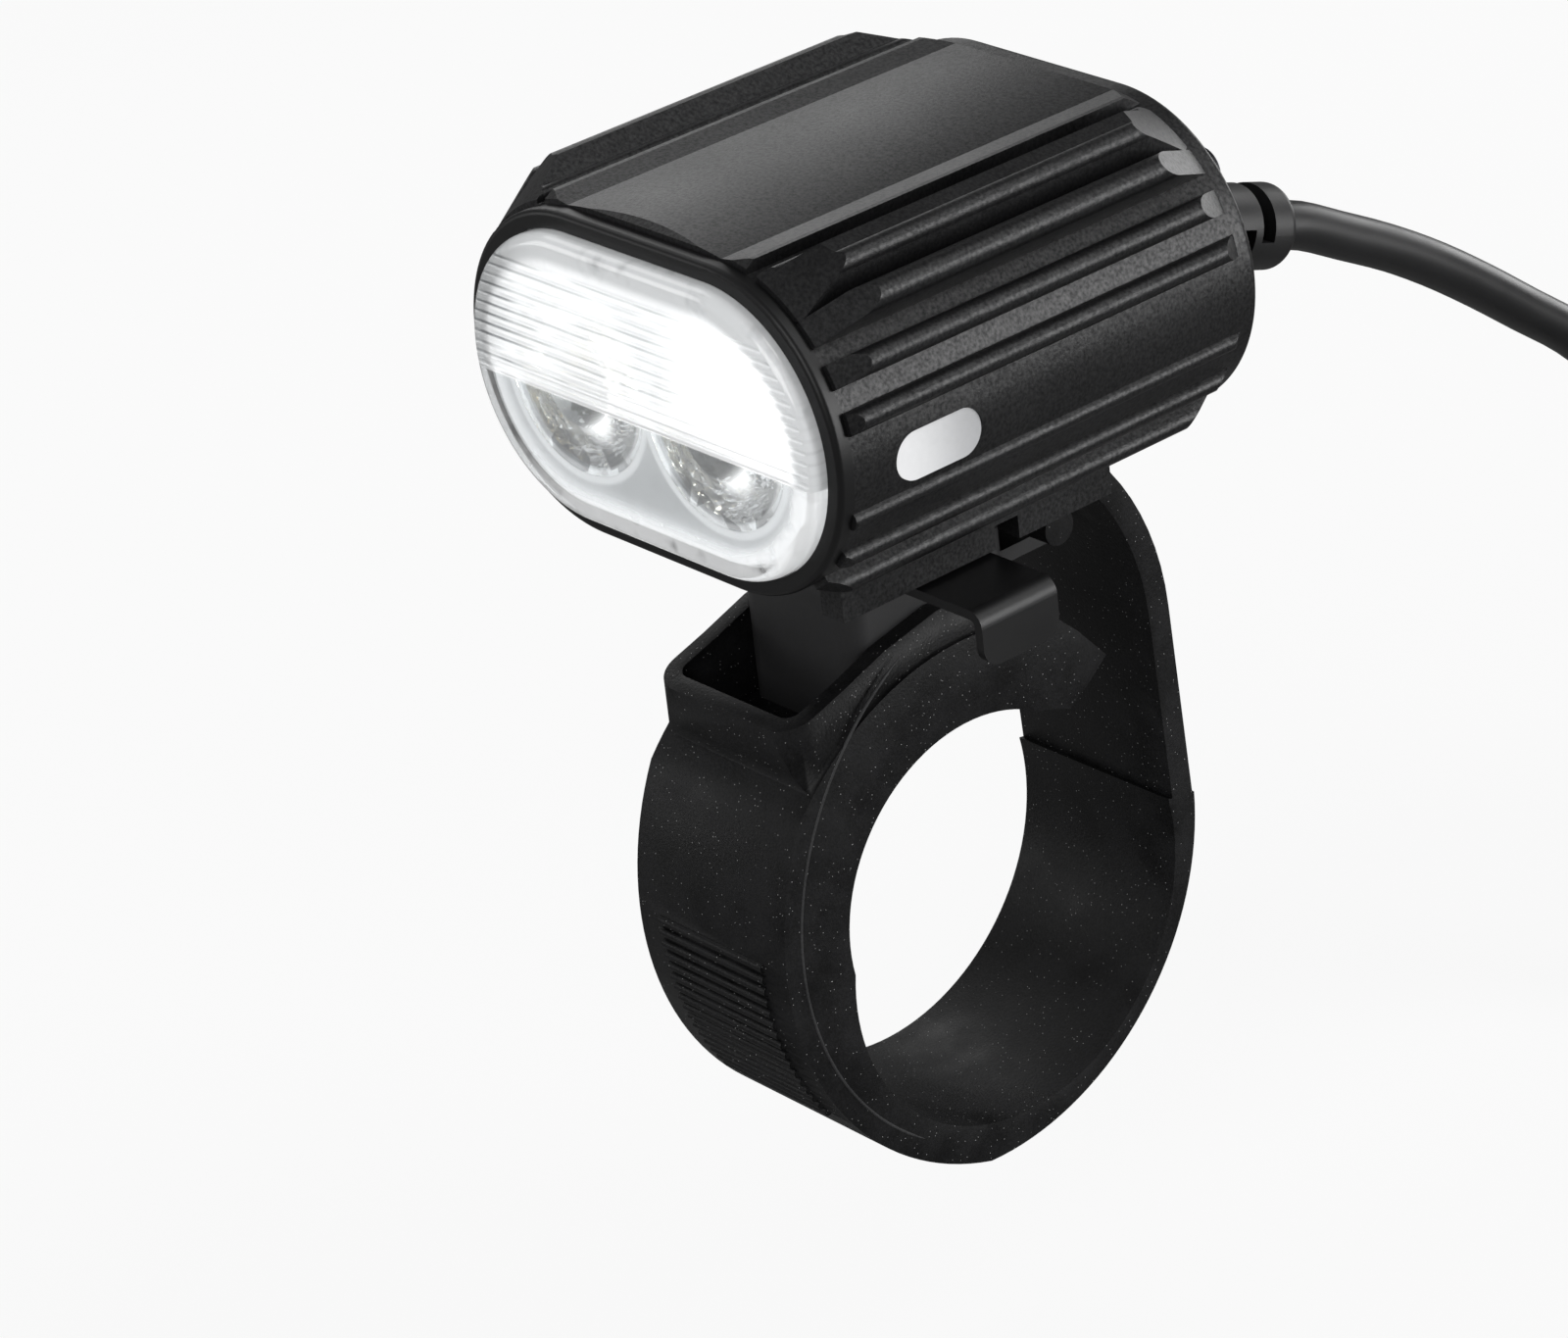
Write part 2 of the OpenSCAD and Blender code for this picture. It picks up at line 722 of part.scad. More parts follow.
// A round plug with a ribbed grip and a hollow nose
module plug_body() {
    color(black) translate([plug_x, lead_end[1], plug_top - plug_taper - plug_len]) difference() {
        union() {
            cylinder(h = plug_len, r = 4.4);
            for (k = [0 : 4]) translate([0, 0, 4 + 2.4 * k]) cylinder(h = 1.2, r = 4.8);
            translate([0, 0, -plug_nose]) cylinder(h = plug_nose, r = 3.4);
        }
        translate([0, 0, -plug_nose - 1]) cylinder(h = plug_nose, r = 2.6);
    }
}

module plug_pins() {
    color([0.85, 0.7, 0.35]) for (side = [-1, 1])
        translate([plug_x + side * 1.1, lead_end[1], plug_top - plug_taper - plug_len - plug_nose + 1])
            cylinder(h = plug_nose - 2, r = 0.5);
}

// The block as seen from above, grown by an amount at the front and the sides
module block_plan(grow) {
    half = block_half + grow;
    front = block_front - grow;
    for (side = [-1, 1], y = [front + block_corner, block_back - block_corner])
        translate([side * (half - block_corner), y]) circle(block_corner);
    translate([-half, front + block_corner]) square([2 * half, block_back - front - 2 * block_corner]);
    translate([block_corner - half, front]) square([2 * (half - block_corner), block_back - front]);
}

module base_block() {
    slot_y = lever_y - pass;
    color([0.2, 0.2, 0.2]) difference() {
        union() {
            translate([0, 0, tray_floor]) linear_extrude(shoe_z - tray_floor) block_plan(0);
            translate([0, 0, block_lip_z]) linear_extrude(shoe_z - block_lip_z) block_plan(block_lip);
            across(2 * (block_half - block_corner)) {
                translate([block_back - 1, arm_z])
                    square([hook_at[0] - block_back + 1 + hook_r - 0.4, arm_t]);
                translate([hook_at[0] - 1.15, arm_z]) square([2.3, hook_at[1] - arm_z]);
                translate(hook_at) circle(hook_r);
            }
        }
        across(30) circle(tray_floor_r);
        translate([lever_x - 2.5, slot_y, slot_floor])
            cube([block_half + 6, lever_w + 2 * pass, shoe_z - slot_floor + 1]);
        rod(lever_x, slot_y, pin_z, knuckle_r + pass, lever_w + 2 * pass);
        rod(lever_x, slot_y - 1.2, pin_z, pin_r + 0.02, lever_w + 2 * pass + 2.4);
        translate([spring_x, lever_y + lever_w / 2, spring_low]) cylinder(h = 8, r = spring_r + 0.7);
        for (side = [-1, 1]) translate([side * 4, shoe_screw_y, shoe_z - 7]) cylinder(h = 8, r = 1.4 + fit);
    }
}

module shoe_plate() {
    tongue_half = rail_inner + groove_depth - pass;
    color(steel) difference() {
        union() {
            translate([-rail_inner + pass, shoe_front, shoe_z])
                cube([2 * (rail_inner - pass), shoe_len, shoe_t]);
            translate([-tongue_half, shoe_front, groove_mid - tongue_t / 2])
                cube([2 * tongue_half, shoe_len, tongue_t]);
        }
        for (side = [-1, 1]) translate([side * 4, shoe_screw_y, shoe_z - 1]) {
            cylinder(h = shoe_t + 2, r = 1.4 + fit);
            translate([0, 0, shoe_t]) cylinder(h = 2, r = 2.8);
        }
    }
}

module shoe_screws() {
    color(steel) for (side = [-1, 1]) translate([side * 4, shoe_screw_y, 0]) {
        translate([0, 0, shoe_z - 6.5]) cylinder(h = shoe_t + 6, r = 1.4);
        translate([0, 0, shoe_z + shoe_t - 1]) cylinder(h = 1, r = 2.7);
    }
}

module lever_pin() {
    color(steel) rod(lever_x, lever_y - pass - 1.1, pin_z, pin_r, lever_w + 2 * pass + 2.2);
}

module lever_spring() {
    color(steel) tube(spring_path(), spring_wire / 2, 6, [0, 0, 1]);
}

// A bent strip on a pin: it runs out under the rail, and its tab hangs beside it
module release_lever() {
    low = lever_top - tab_h;
    color(black) difference() {
        union() {
            translate([lever_x, lever_y, lever_top - lever_t])
                cube([lever_reach - lever_x - bend_r, lever_w, lever_t]);
            translate([lever_reach - bend_r, lever_y, lever_top - bend_r]) rotate([-90, 0, 0])
                intersection() {
                    difference() {
                        cylinder(h = lever_w, r = bend_r);
                        translate([0, 0, -1]) cylinder(h = lever_w + 2, r = bend_r - lever_t);
                    }
                    translate([0, -bend_r, 0]) cube([bend_r, bend_r, lever_w]);
                }
            translate([lever_reach - lever_t, lever_y, 0]) rotate([90, 0, 90]) linear_extrude(lever_t) {
                translate([0, low + tab_corner]) square([lever_w, tab_h - bend_r - tab_corner]);
                translate([tab_corner, low]) square([lever_w - 2 * tab_corner, tab_corner]);
                for (side = [tab_corner, lever_w - tab_corner])
                    translate([side, low + tab_corner]) circle(tab_corner);
            }
            rod(lever_x, lever_y, pin_z, knuckle_r, lever_w);
        }
        rod(lever_x, lever_y - 1, pin_z, pin_r + 0.05, lever_w + 2);
    }
}

module strap_section() {
    difference() {
        intersection() {
            translate(FRONT_ROUND) circle(front_round_r, $fn = 120);
            translate(LOWER_ROUND) circle(lower_round_r, $fn = 120);
        }
        translate(SLACK) circle(slack_r, $fn = 120);
        polygon(concat(EAR, [[12, 0], [30, -3], [30, 32], [EAR[0][0], 32]]));
    }
}

// The tail rises behind the bar, curves forward and turns over the hook with a beaded end
module tail_section() {
    outer = tail_side(tail_r, tail_band + tail_t);
    inner = tail_side(tail_r - tail_t, tail_band);
    polygon(concat(outer, [for (i = [len(inner) - 1 : -1 : 0]) inner[i]]));
    translate(hook_at - [tail_band + tail_t / 2, 0.3]) circle(1.7);
}

// The tray as seen from above, drawn in from its outside by an inset
module tray_plan(inset) {
    half = tray_half - inset;
    front = tray_front + inset;
    corner = tray_corner - inset;
    for (side = [-1, 1]) translate([side * (half - corner), front + corner]) circle(corner);
    translate([corner - half, front]) square([2 * (half - corner), corner]);
    translate([-half, front + corner]) square([2 * half, 40]);
}

module rubber_strap() {
    ribs_from = 180;
    color(rubber) difference() {
        union() {
            across(strap_w) strap_section();
            across(strap_w) tail_section();
            intersection() {
                across(2 * tray_half) polygon(tray_rim);
                linear_extrude(40) tray_plan(0);
            }
            for (k = [0 : 1 : grip_ribs - 1])
                translate([-7, FRONT_ROUND[0] + front_round_r * cos(ribs_from + grip_step * k),
                           FRONT_ROUND[1] + front_round_r * sin(ribs_from + grip_step * k)])
                    rotate([0, 90, 0]) cylinder(h = 14, r = 0.45);
        }
        across(strap_w + 2) circle(bar_r, $fn = 120);
        difference() {
            intersection() {
                translate([0, 0, tray_floor]) linear_extrude(20) tray_plan(tray_wall);
                translate([-tray_half, tray_front, 0])
                    cube([2 * tray_half, block_back + 0.1 - tray_front, 60]);
            }
            across(strap_w) circle(tray_floor_r, $fn = 120);
        }
    }
}

housing();
front_bezel();
lens_cover();
lens_gasket();
optic_holder();
collimator(1);  // optic_right
collimator(-1);  // optic_left
led_board();
led(1);  // led_right
led(-1);  // led_left
heat_core();
core_screws();
driver_board();
driver_parts();
board_screws();
lead_wires();
side_window();  // window_right
mirror([1, 0, 0]) side_window();  // window_left
side_leds();
rear_gasket();
rear_cap();
rear_screws();
strain_relief();
cable();
cable_coil();
coil_tie();
plug_relief();
plug_body();
plug_pins();
base_block();
shoe_plate();
shoe_screws();
lever_pin();
lever_spring();
release_lever();
rubber_strap();
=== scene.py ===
"""A black bicycle headlight with its rubber handlebar strap and battery lead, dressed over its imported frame.

Every length in the classes below is in millimetres, in the frame of the CAD model: the origin is on
the handlebar's axis, +X runs along the bar, the lamp looks along -Y and +Z is up.
"""

from __future__ import annotations

import json
import logging
import math
from dataclasses import dataclass, field
from enum import Enum
from functools import cached_property, partial, reduce

import bmesh
import bpy
import numpy as np
from mathutils import Matrix, Vector

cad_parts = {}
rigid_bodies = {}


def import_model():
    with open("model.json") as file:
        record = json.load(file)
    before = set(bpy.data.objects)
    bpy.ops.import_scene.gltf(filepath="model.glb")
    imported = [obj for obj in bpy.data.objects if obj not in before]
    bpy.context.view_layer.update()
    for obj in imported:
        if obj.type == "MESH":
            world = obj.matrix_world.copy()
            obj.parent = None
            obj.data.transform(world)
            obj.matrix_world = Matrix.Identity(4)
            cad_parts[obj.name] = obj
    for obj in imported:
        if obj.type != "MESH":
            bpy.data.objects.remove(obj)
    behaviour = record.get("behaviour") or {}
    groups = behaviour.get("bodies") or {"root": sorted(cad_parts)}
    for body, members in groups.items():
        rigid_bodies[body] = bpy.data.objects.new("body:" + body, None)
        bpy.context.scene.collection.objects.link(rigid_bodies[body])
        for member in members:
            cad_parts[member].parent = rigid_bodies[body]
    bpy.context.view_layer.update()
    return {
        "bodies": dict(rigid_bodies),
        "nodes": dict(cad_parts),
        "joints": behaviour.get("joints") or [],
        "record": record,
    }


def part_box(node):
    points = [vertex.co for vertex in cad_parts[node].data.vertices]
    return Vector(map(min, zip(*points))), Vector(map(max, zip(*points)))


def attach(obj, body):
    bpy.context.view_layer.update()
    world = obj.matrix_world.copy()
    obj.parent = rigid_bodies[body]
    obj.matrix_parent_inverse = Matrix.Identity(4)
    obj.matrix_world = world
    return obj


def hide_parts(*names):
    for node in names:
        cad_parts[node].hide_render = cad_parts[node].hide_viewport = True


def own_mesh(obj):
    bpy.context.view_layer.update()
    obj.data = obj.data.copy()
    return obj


log = logging.getLogger("headlight")

Socket = bpy.types.NodeSocket
# Where a smooth step starts and where it is full.
Step = tuple[float, float]

MM = 0.001
WHITE = (1.0, 1.0, 1.0, 1.0)
# The two light sources stand this far to each side of the lamp's middle, at this height.
LIGHT_X = 9.1
LIGHT_Z = 52.8
# Nearly all of a noise texture lies between these values.
NOISE_RANGE = (0.3, 0.7)


class Body(Enum):
    """The bodies that new pieces ride on."""

    MOUNT = "mount"
    LAMP = "lamp"


class Texture(Enum):
    """The grain that a finish carries."""

    BLASTED = "blasted"
    MOULDED = "moulded"
    BRUSHED = "brushed"
    FACETED = "faceted"


# ---- colour and nodes


def linear(colour: str) -> tuple[float, float, float, float]:
    """Turn an sRGB hex colour into the linear colour that a shader takes, by the sRGB curve.

    Args:
        colour: Six hex digits with a leading hash.

    Returns:
        Red, green, blue and an alpha of 1, in linear light.
    """
    parts = [int(colour[i : i + 2], 16) / 255 for i in (1, 3, 5)]
    return (*(c / 12.92 if c <= 0.04045 else ((c + 0.055) / 1.055) ** 2.4 for c in parts), 1.0)


def per_metre(size_mm: float) -> float:
    """The texture scale at which one cell of a pattern is size_mm wide."""
    return 1 / (size_mm * MM)


class Sketch:
    """Draws nodes into a tree. Wherever it takes a number, an output socket can stand as well."""

    def __init__(self, owner: bpy.types.Material | bpy.types.World) -> None:
        """Start from the tree of a material or a world."""
        owner.use_nodes = True
        self.tree = owner.node_tree

    def feed(self, node: bpy.types.Node, key: str | int, value: object) -> None:
        """Set one input of a node.

        Args:
            node: The node.
            key: The input's name or number.
            value: A value, or the output socket that feeds the input.
        """
        if isinstance(value, Socket):
            self.tree.links.new(value, node.inputs[key])
        else:
            node.inputs[key].default_value = value

    def node(self, kind: str, inputs: dict, **settings: object) -> bpy.types.Node:
        """Add one node.

        Args:
            kind: The node's type name.
            inputs: Input name or number to its value, or to the output socket that feeds it.
            settings: Properties of the node itself.

        Returns:
            The new node.
        """
        node = self.tree.nodes.new(kind)
        for name, value in settings.items():
            setattr(node, name, value)
        for key, value in inputs.items():
            self.feed(node, key, value)
        return node

    def math(self, step: str, *values: object) -> Socket:
        """Add a Math node for an operation such as SQRT, with its inputs in order."""
        return self.node("ShaderNodeMath", dict(enumerate(values)), operation=step).outputs[0]

    def product(self, *values: object) -> Socket:
        """Multiply values."""
        return reduce(partial(self.math, "MULTIPLY"), values)

    def total(self, *values: object) -> Socket:
        """Add up values."""
        return reduce(partial(self.math, "ADD"), values)

    def rest(self, share: Socket) -> Socket:
        """What a share leaves of the whole."""
        return self.math("SUBTRACT", 1.0, share)

    def past(self, place: Socket, mark_mm: float) -> Socket:
        """How far a place lies past a mark, in metres."""
        return self.math("SUBTRACT", place, mark_mm * MM)

    def length(self, across: Socket, rise: Socket) -> Socket:
        """The root of across squared plus rise squared."""
        return self.math("SQRT", self.total(self.product(across, across), self.product(rise, rise)))

    def mask(self, value: Socket, low: float, high: float) -> Socket:
        """Add a smooth step from 0 at low to 1 at high."""
        inputs = {0: value, 1: low, 2: high}
        return self.node("ShaderNodeMapRange", inputs, interpolation_type="SMOOTHSTEP").outputs[0]

    def mask_mm(self, value: Socket, step: Step, least: float = 0.0) -> Socket:
        """Add a smooth step that starts and ends at millimetres.

        Args:
            value: A length in metres.
            step: Where it starts and where it is full.
            least: What it holds before it starts.

        Returns:
            The step, from least to 1.
        """
        mask = self.mask(value, *(mark * MM for mark in step))
        return self.total(self.product(mask, 1 - least), least) if least else mask

    def blend(self, share: Socket, first: object, second: object) -> Socket:
        """Blend two colours, of which the second shows by its share."""
        return self.node("ShaderNodeMix", {0: share, 6: first, 7: second}, data_type="RGBA").outputs[2]


class SurfaceSketch(Sketch):
    """Draws a finish: its shader, and patterns in the Object coordinates of each point."""

    def __init__(self, owner: bpy.types.Material) -> None:
        """Start from the plain Principled shader.

        Args:
            owner: The material.
        """
        super().__init__(owner)
        self.shader = self.tree.nodes["Principled BSDF"]
        self.place = self.node("ShaderNodeTexCoord", {}).outputs["Object"]

    @cached_property
    def axes(self) -> tuple[Socket, ...]:
        """The X, Y and Z of each point."""
        return tuple(self.node("ShaderNodeSeparateXYZ", {0: self.place}).outputs)

    def wear(self, **values: object) -> None:
        """Set inputs of the shader, named with underscores for spaces."""
        for name, value in values.items():
            self.feed(self.shader, name.replace("_", " "), value)

    def noise(self, size_mm: float, stretch: tuple = (1.0, 1.0, 1.0), **sockets: float) -> Socket:
        """Add a noise texture.

        Args:
            size_mm: How wide its blots are.
            stretch: The scale of each axis; less than 1 draws the blots out along it.
            sockets: Its other inputs.

        Returns:
            Its value, from 0 to 1.
        """
        place = self.place
        if min(stretch) < 1:
            place = self.node("ShaderNodeMapping", {0: place, "Scale": stretch}).outputs[0]
        inputs = {"Vector": place, "Scale": per_metre(size_mm), **sockets}
        return self.node("ShaderNodeTexNoise", inputs).outputs[0]

    def spread(self, noise: Socket, low: float, high: float) -> Socket:
        """Map a noise evenly onto the values from low to high."""
        inputs = dict(enumerate((noise, *NOISE_RANGE, low, high)))
        return self.node("ShaderNodeMapRange", inputs).outputs[0]

    def cells(self, size_mm: float, **settings: str) -> bpy.types.NodeOutputs:
        """Add a cell texture and give its outputs."""
        inputs = {"Vector": self.place, "Scale": per_metre(size_mm)}
        return self.node("ShaderNodeTexVoronoi", inputs, **settings).outputs

    def lot(self, cells: bpy.types.NodeOutputs) -> Socket:
        """A chance number from 0 to 1 for each cell."""
        return self.node("ShaderNodeSeparateColor", {0: cells["Color"]}).outputs[0]

    def from_lights(self, shift_x: float = 0.0, height: float = LIGHT_Z) -> Socket:
        """How far each point lies from the nearer of two centres in front of the light sources.

        Args:
            shift_x: How far both centres stand to +X of the light sources.
            height: The height of the centres.

        Returns:
            The distance, in metres.
        """
        aside = self.math("ABSOLUTE", self.past(self.axes[0], shift_x))
        return self.length(self.past(aside, LIGHT_X), self.past(self.axes[2], height))

    def from_middle(self) -> Socket:
        """How far each point lies from the line between the light sources, the radius of an oval."""
        past_end = self.past(self.math("ABSOLUTE", self.axes[0]), LIGHT_X)
        return self.length(self.math("MAXIMUM", past_end, 0.0), self.past(self.axes[2], LIGHT_Z))


# ---- finishes


@dataclass(frozen=True)
class Finish:
    """A solid finish: its colour, how rough it is, and the grain in it."""

    name: str
    slot: str
    colour: str
    roughness: float
    metallic: float = 0.0
    ior: float = 1.5
    texture: Texture = Texture.MOULDED
    grain_mm: float = 0.35
    grain_depth_mm: float = 0.01
    grain_roughness: float = 0.6
    brush_stretch: float = 0.04
    tone_spread: float = 0.25
    gloss_spread: float = 0.06
    cloud_mm: float = 9.0
    cloud_share: float = 0.55

    def grain(self, sketch: SurfaceSketch) -> Socket:
        """Make the height pattern of the surface.

        Args:
            sketch: Draws the finish.

        Returns:
            A height from 0 to 1.
        """
        if self.texture is Texture.FACETED:
            return sketch.cells(self.grain_mm)["Distance"]
        stretch = (1.0, self.brush_stretch if self.texture is Texture.BRUSHED else 1.0, 1.0)
        detail = 4.0 if self.texture is Texture.BLASTED else 2.0
        return sketch.noise(self.grain_mm, stretch, Detail=detail, Roughness=self.grain_roughness)

    def material(self) -> bpy.types.Material:
        """Build the finish.

        Returns:
            The material.
        """
        material = bpy.data.materials.new(self.name)
        sketch = SurfaceSketch(material)
        height = self.grain(sketch)
        cloud = sketch.noise(self.cloud_mm, Detail=3.0)
        shares = sketch.product(height, 1 - self.cloud_share), sketch.product(cloud, self.cloud_share)
        *parts, alpha = linear(self.colour)
        dark, light = ((*(part * (1 + way * self.tone_spread) for part in parts), alpha) for way in (-1, 1))
        colour = sketch.blend(sketch.mask(sketch.total(*shares), *NOISE_RANGE), dark, light)
        bump = {"Height": height, "Distance": self.grain_depth_mm * MM, "Strength": 1.0}
        sketch.wear(
            Base_Color=self.over_colour(sketch, colour),
            Roughness=sketch.spread(cloud, *(self.roughness + way * self.gloss_spread for way in (-1, 1))),
            Metallic=self.metallic,
            IOR=self.ior,
            Normal=sketch.node("ShaderNodeBump", bump).outputs[0],
        )
        self.extra(sketch)
        return material

    def over_colour(self, sketch: SurfaceSketch, colour: Socket) -> Socket:
        """What lies over the plain colour; nothing here."""
        return colour

    def extra(self, sketch: SurfaceSketch) -> None:
        """What a finish adds to its shader; nothing here."""


@dataclass(frozen=True)
class DustyRubber(Finish):
    """Moulded silicone rubber, which holds a little pale dust and lint."""

    dust: str = "#a4a4a4"
    dust_pitch_mm: float = 0.4
    dust_mm: float = 0.055
    dust_core: float = 0.4
    dust_share: float = 0.5
    specular: float = 0.3

    def over_colour(self, sketch: SurfaceSketch, colour: Socket) -> Socket:
        """Scatter specks of dust: small discs at the centres of a share of the cells.

        Args:
            sketch: Draws the finish.
            colour: The plain colour.

        Returns:
            The colour with the specks over it.
        """
        cells = sketch.cells(self.dust_pitch_mm)
        edge = self.dust_mm / self.dust_pitch_mm
        near = sketch.mask(cells["Distance"], edge, edge * self.dust_core)
        chosen = sketch.math("LESS_THAN", sketch.lot(cells), self.dust_share)
        return sketch.blend(sketch.product(near, chosen), colour, linear(self.dust))

    def extra(self, sketch: SurfaceSketch) -> None:
        """Dull the rubber's reflection."""
        sketch.wear(Specular_IOR_Level=self.specular)


@dataclass(frozen=True)
class BlastedMetal(Finish):
    """Bead-blasted metal, each dimple of which shines a little more or less than the next."""

    speck_mm: float = 0.34
    speck: tuple[float, float] = (0.22, 0.78)

    def extra(self, sketch: SurfaceSketch) -> None:
        """Make the reflection uneven at the size of the dimples."""
        sketch.wear(Specular_IOR_Level=sketch.spread(sketch.noise(self.speck_mm), *self.speck))


@dataclass(frozen=True)
class Glow(Finish):
    """A surface that shines: a real light source, or a pale plastic on which the light passing through it is a
    painted glow.
    """

    glow: str = "#ffffff"
    strength: float = 0.4
    clear: float = 0.0

    def power(self, sketch: SurfaceSketch) -> object:
        """How strongly each point shines."""
        return self.strength

    def extra(self, sketch: SurfaceSketch) -> None:
        """Make the surface shine, a painted glow where it is no light source, and let light pass."""
        power = self.power(sketch)
        sketch.wear(Emission_Color=linear(self.glow), Emission_Strength=power, Transmission_Weight=self.clear)


@dataclass(frozen=True)
class RingedGlow(Glow):
    """A pale plastic with a painted glow, strongest at the lamp's outer edge and in a thin painted ring of
    light round each light.
    """

    ring_round: float = 9.1
    ring_mm: float = 0.5
    ring_core: float = 0.2
    ring_lit: float = 0.3
    edge_round: float = 11.4
    edge_mm: float = 2.2
    edge_lit: float = 0.12

    def power(self, sketch: SurfaceSketch) -> Socket:
        """Add the painted rings and the painted glow at the edge to the even painted glow.

        Args:
            sketch: Draws the finish.

        Returns:
            How strongly each point shines.
        """
        off_ring = sketch.math("ABSOLUTE", sketch.past(sketch.from_lights(), self.ring_round))
        ring = sketch.mask_mm(off_ring, (self.ring_mm, self.ring_mm * self.ring_core))
        edge = sketch.mask_mm(sketch.from_middle(), (self.edge_round - self.edge_mm, self.edge_round))
        lit = sketch.product(ring, self.ring_lit), sketch.product(edge, self.edge_lit)
        return sketch.total(*lit, self.strength)


@dataclass(frozen=True)
class FacetedOptic(RingedGlow):
    """A collimator: a painted highlight where its light shows through, and facets below it darkened as a
    painted reflection.
    """

    spot_x: float = 2.2
    spot_z: float = 50.1
    spot_mm: float = 3.3
    spot_highlight_lit: float = 1.6
    facet_mm: float = 1.7
    facet_lot: Step = (0.4, 0.6)
    facet_reflection_tone: str = "#4e5153"
    facet_z: Step = (49.0, 46.5)

    def over_colour(self, sketch: SurfaceSketch, colour: Socket) -> Socket:
        """Darken some of the facets in the lower part, as a painted reflection of the dark parts inside.

        Args:
            sketch: Draws the finish.
            colour: The plain colour.

        Returns:
            The colour with dark facets in it.
        """
        dark = sketch.mask(sketch.lot(sketch.cells(self.facet_mm)), *self.facet_lot)
        low = sketch.mask_mm(sketch.axes[2], self.facet_z)
        return sketch.blend(sketch.product(dark, low), colour, linear(self.facet_reflection_tone))

    def power(self, sketch: SurfaceSketch) -> Socket:
        """Add the painted highlight spot to the painted rings."""
        near = sketch.mask_mm(sketch.from_lights(self.spot_x, self.spot_z), (self.spot_mm, 0.0))
        return sketch.total(super().power(sketch), sketch.product(near, self.spot_highlight_lit))


@dataclass(frozen=True)
class WindowGlow(Glow):
    """The milky side window, with a painted glow that fades from its front end."""

    fade_y: Step = (-6.5, -16.5)

    def power(self, sketch: SurfaceSketch) -> Socket:
        """Let the painted glow fade along the window."""
        return sketch.product(sketch.mask_mm(sketch.axes[1], self.fade_y), self.strength)


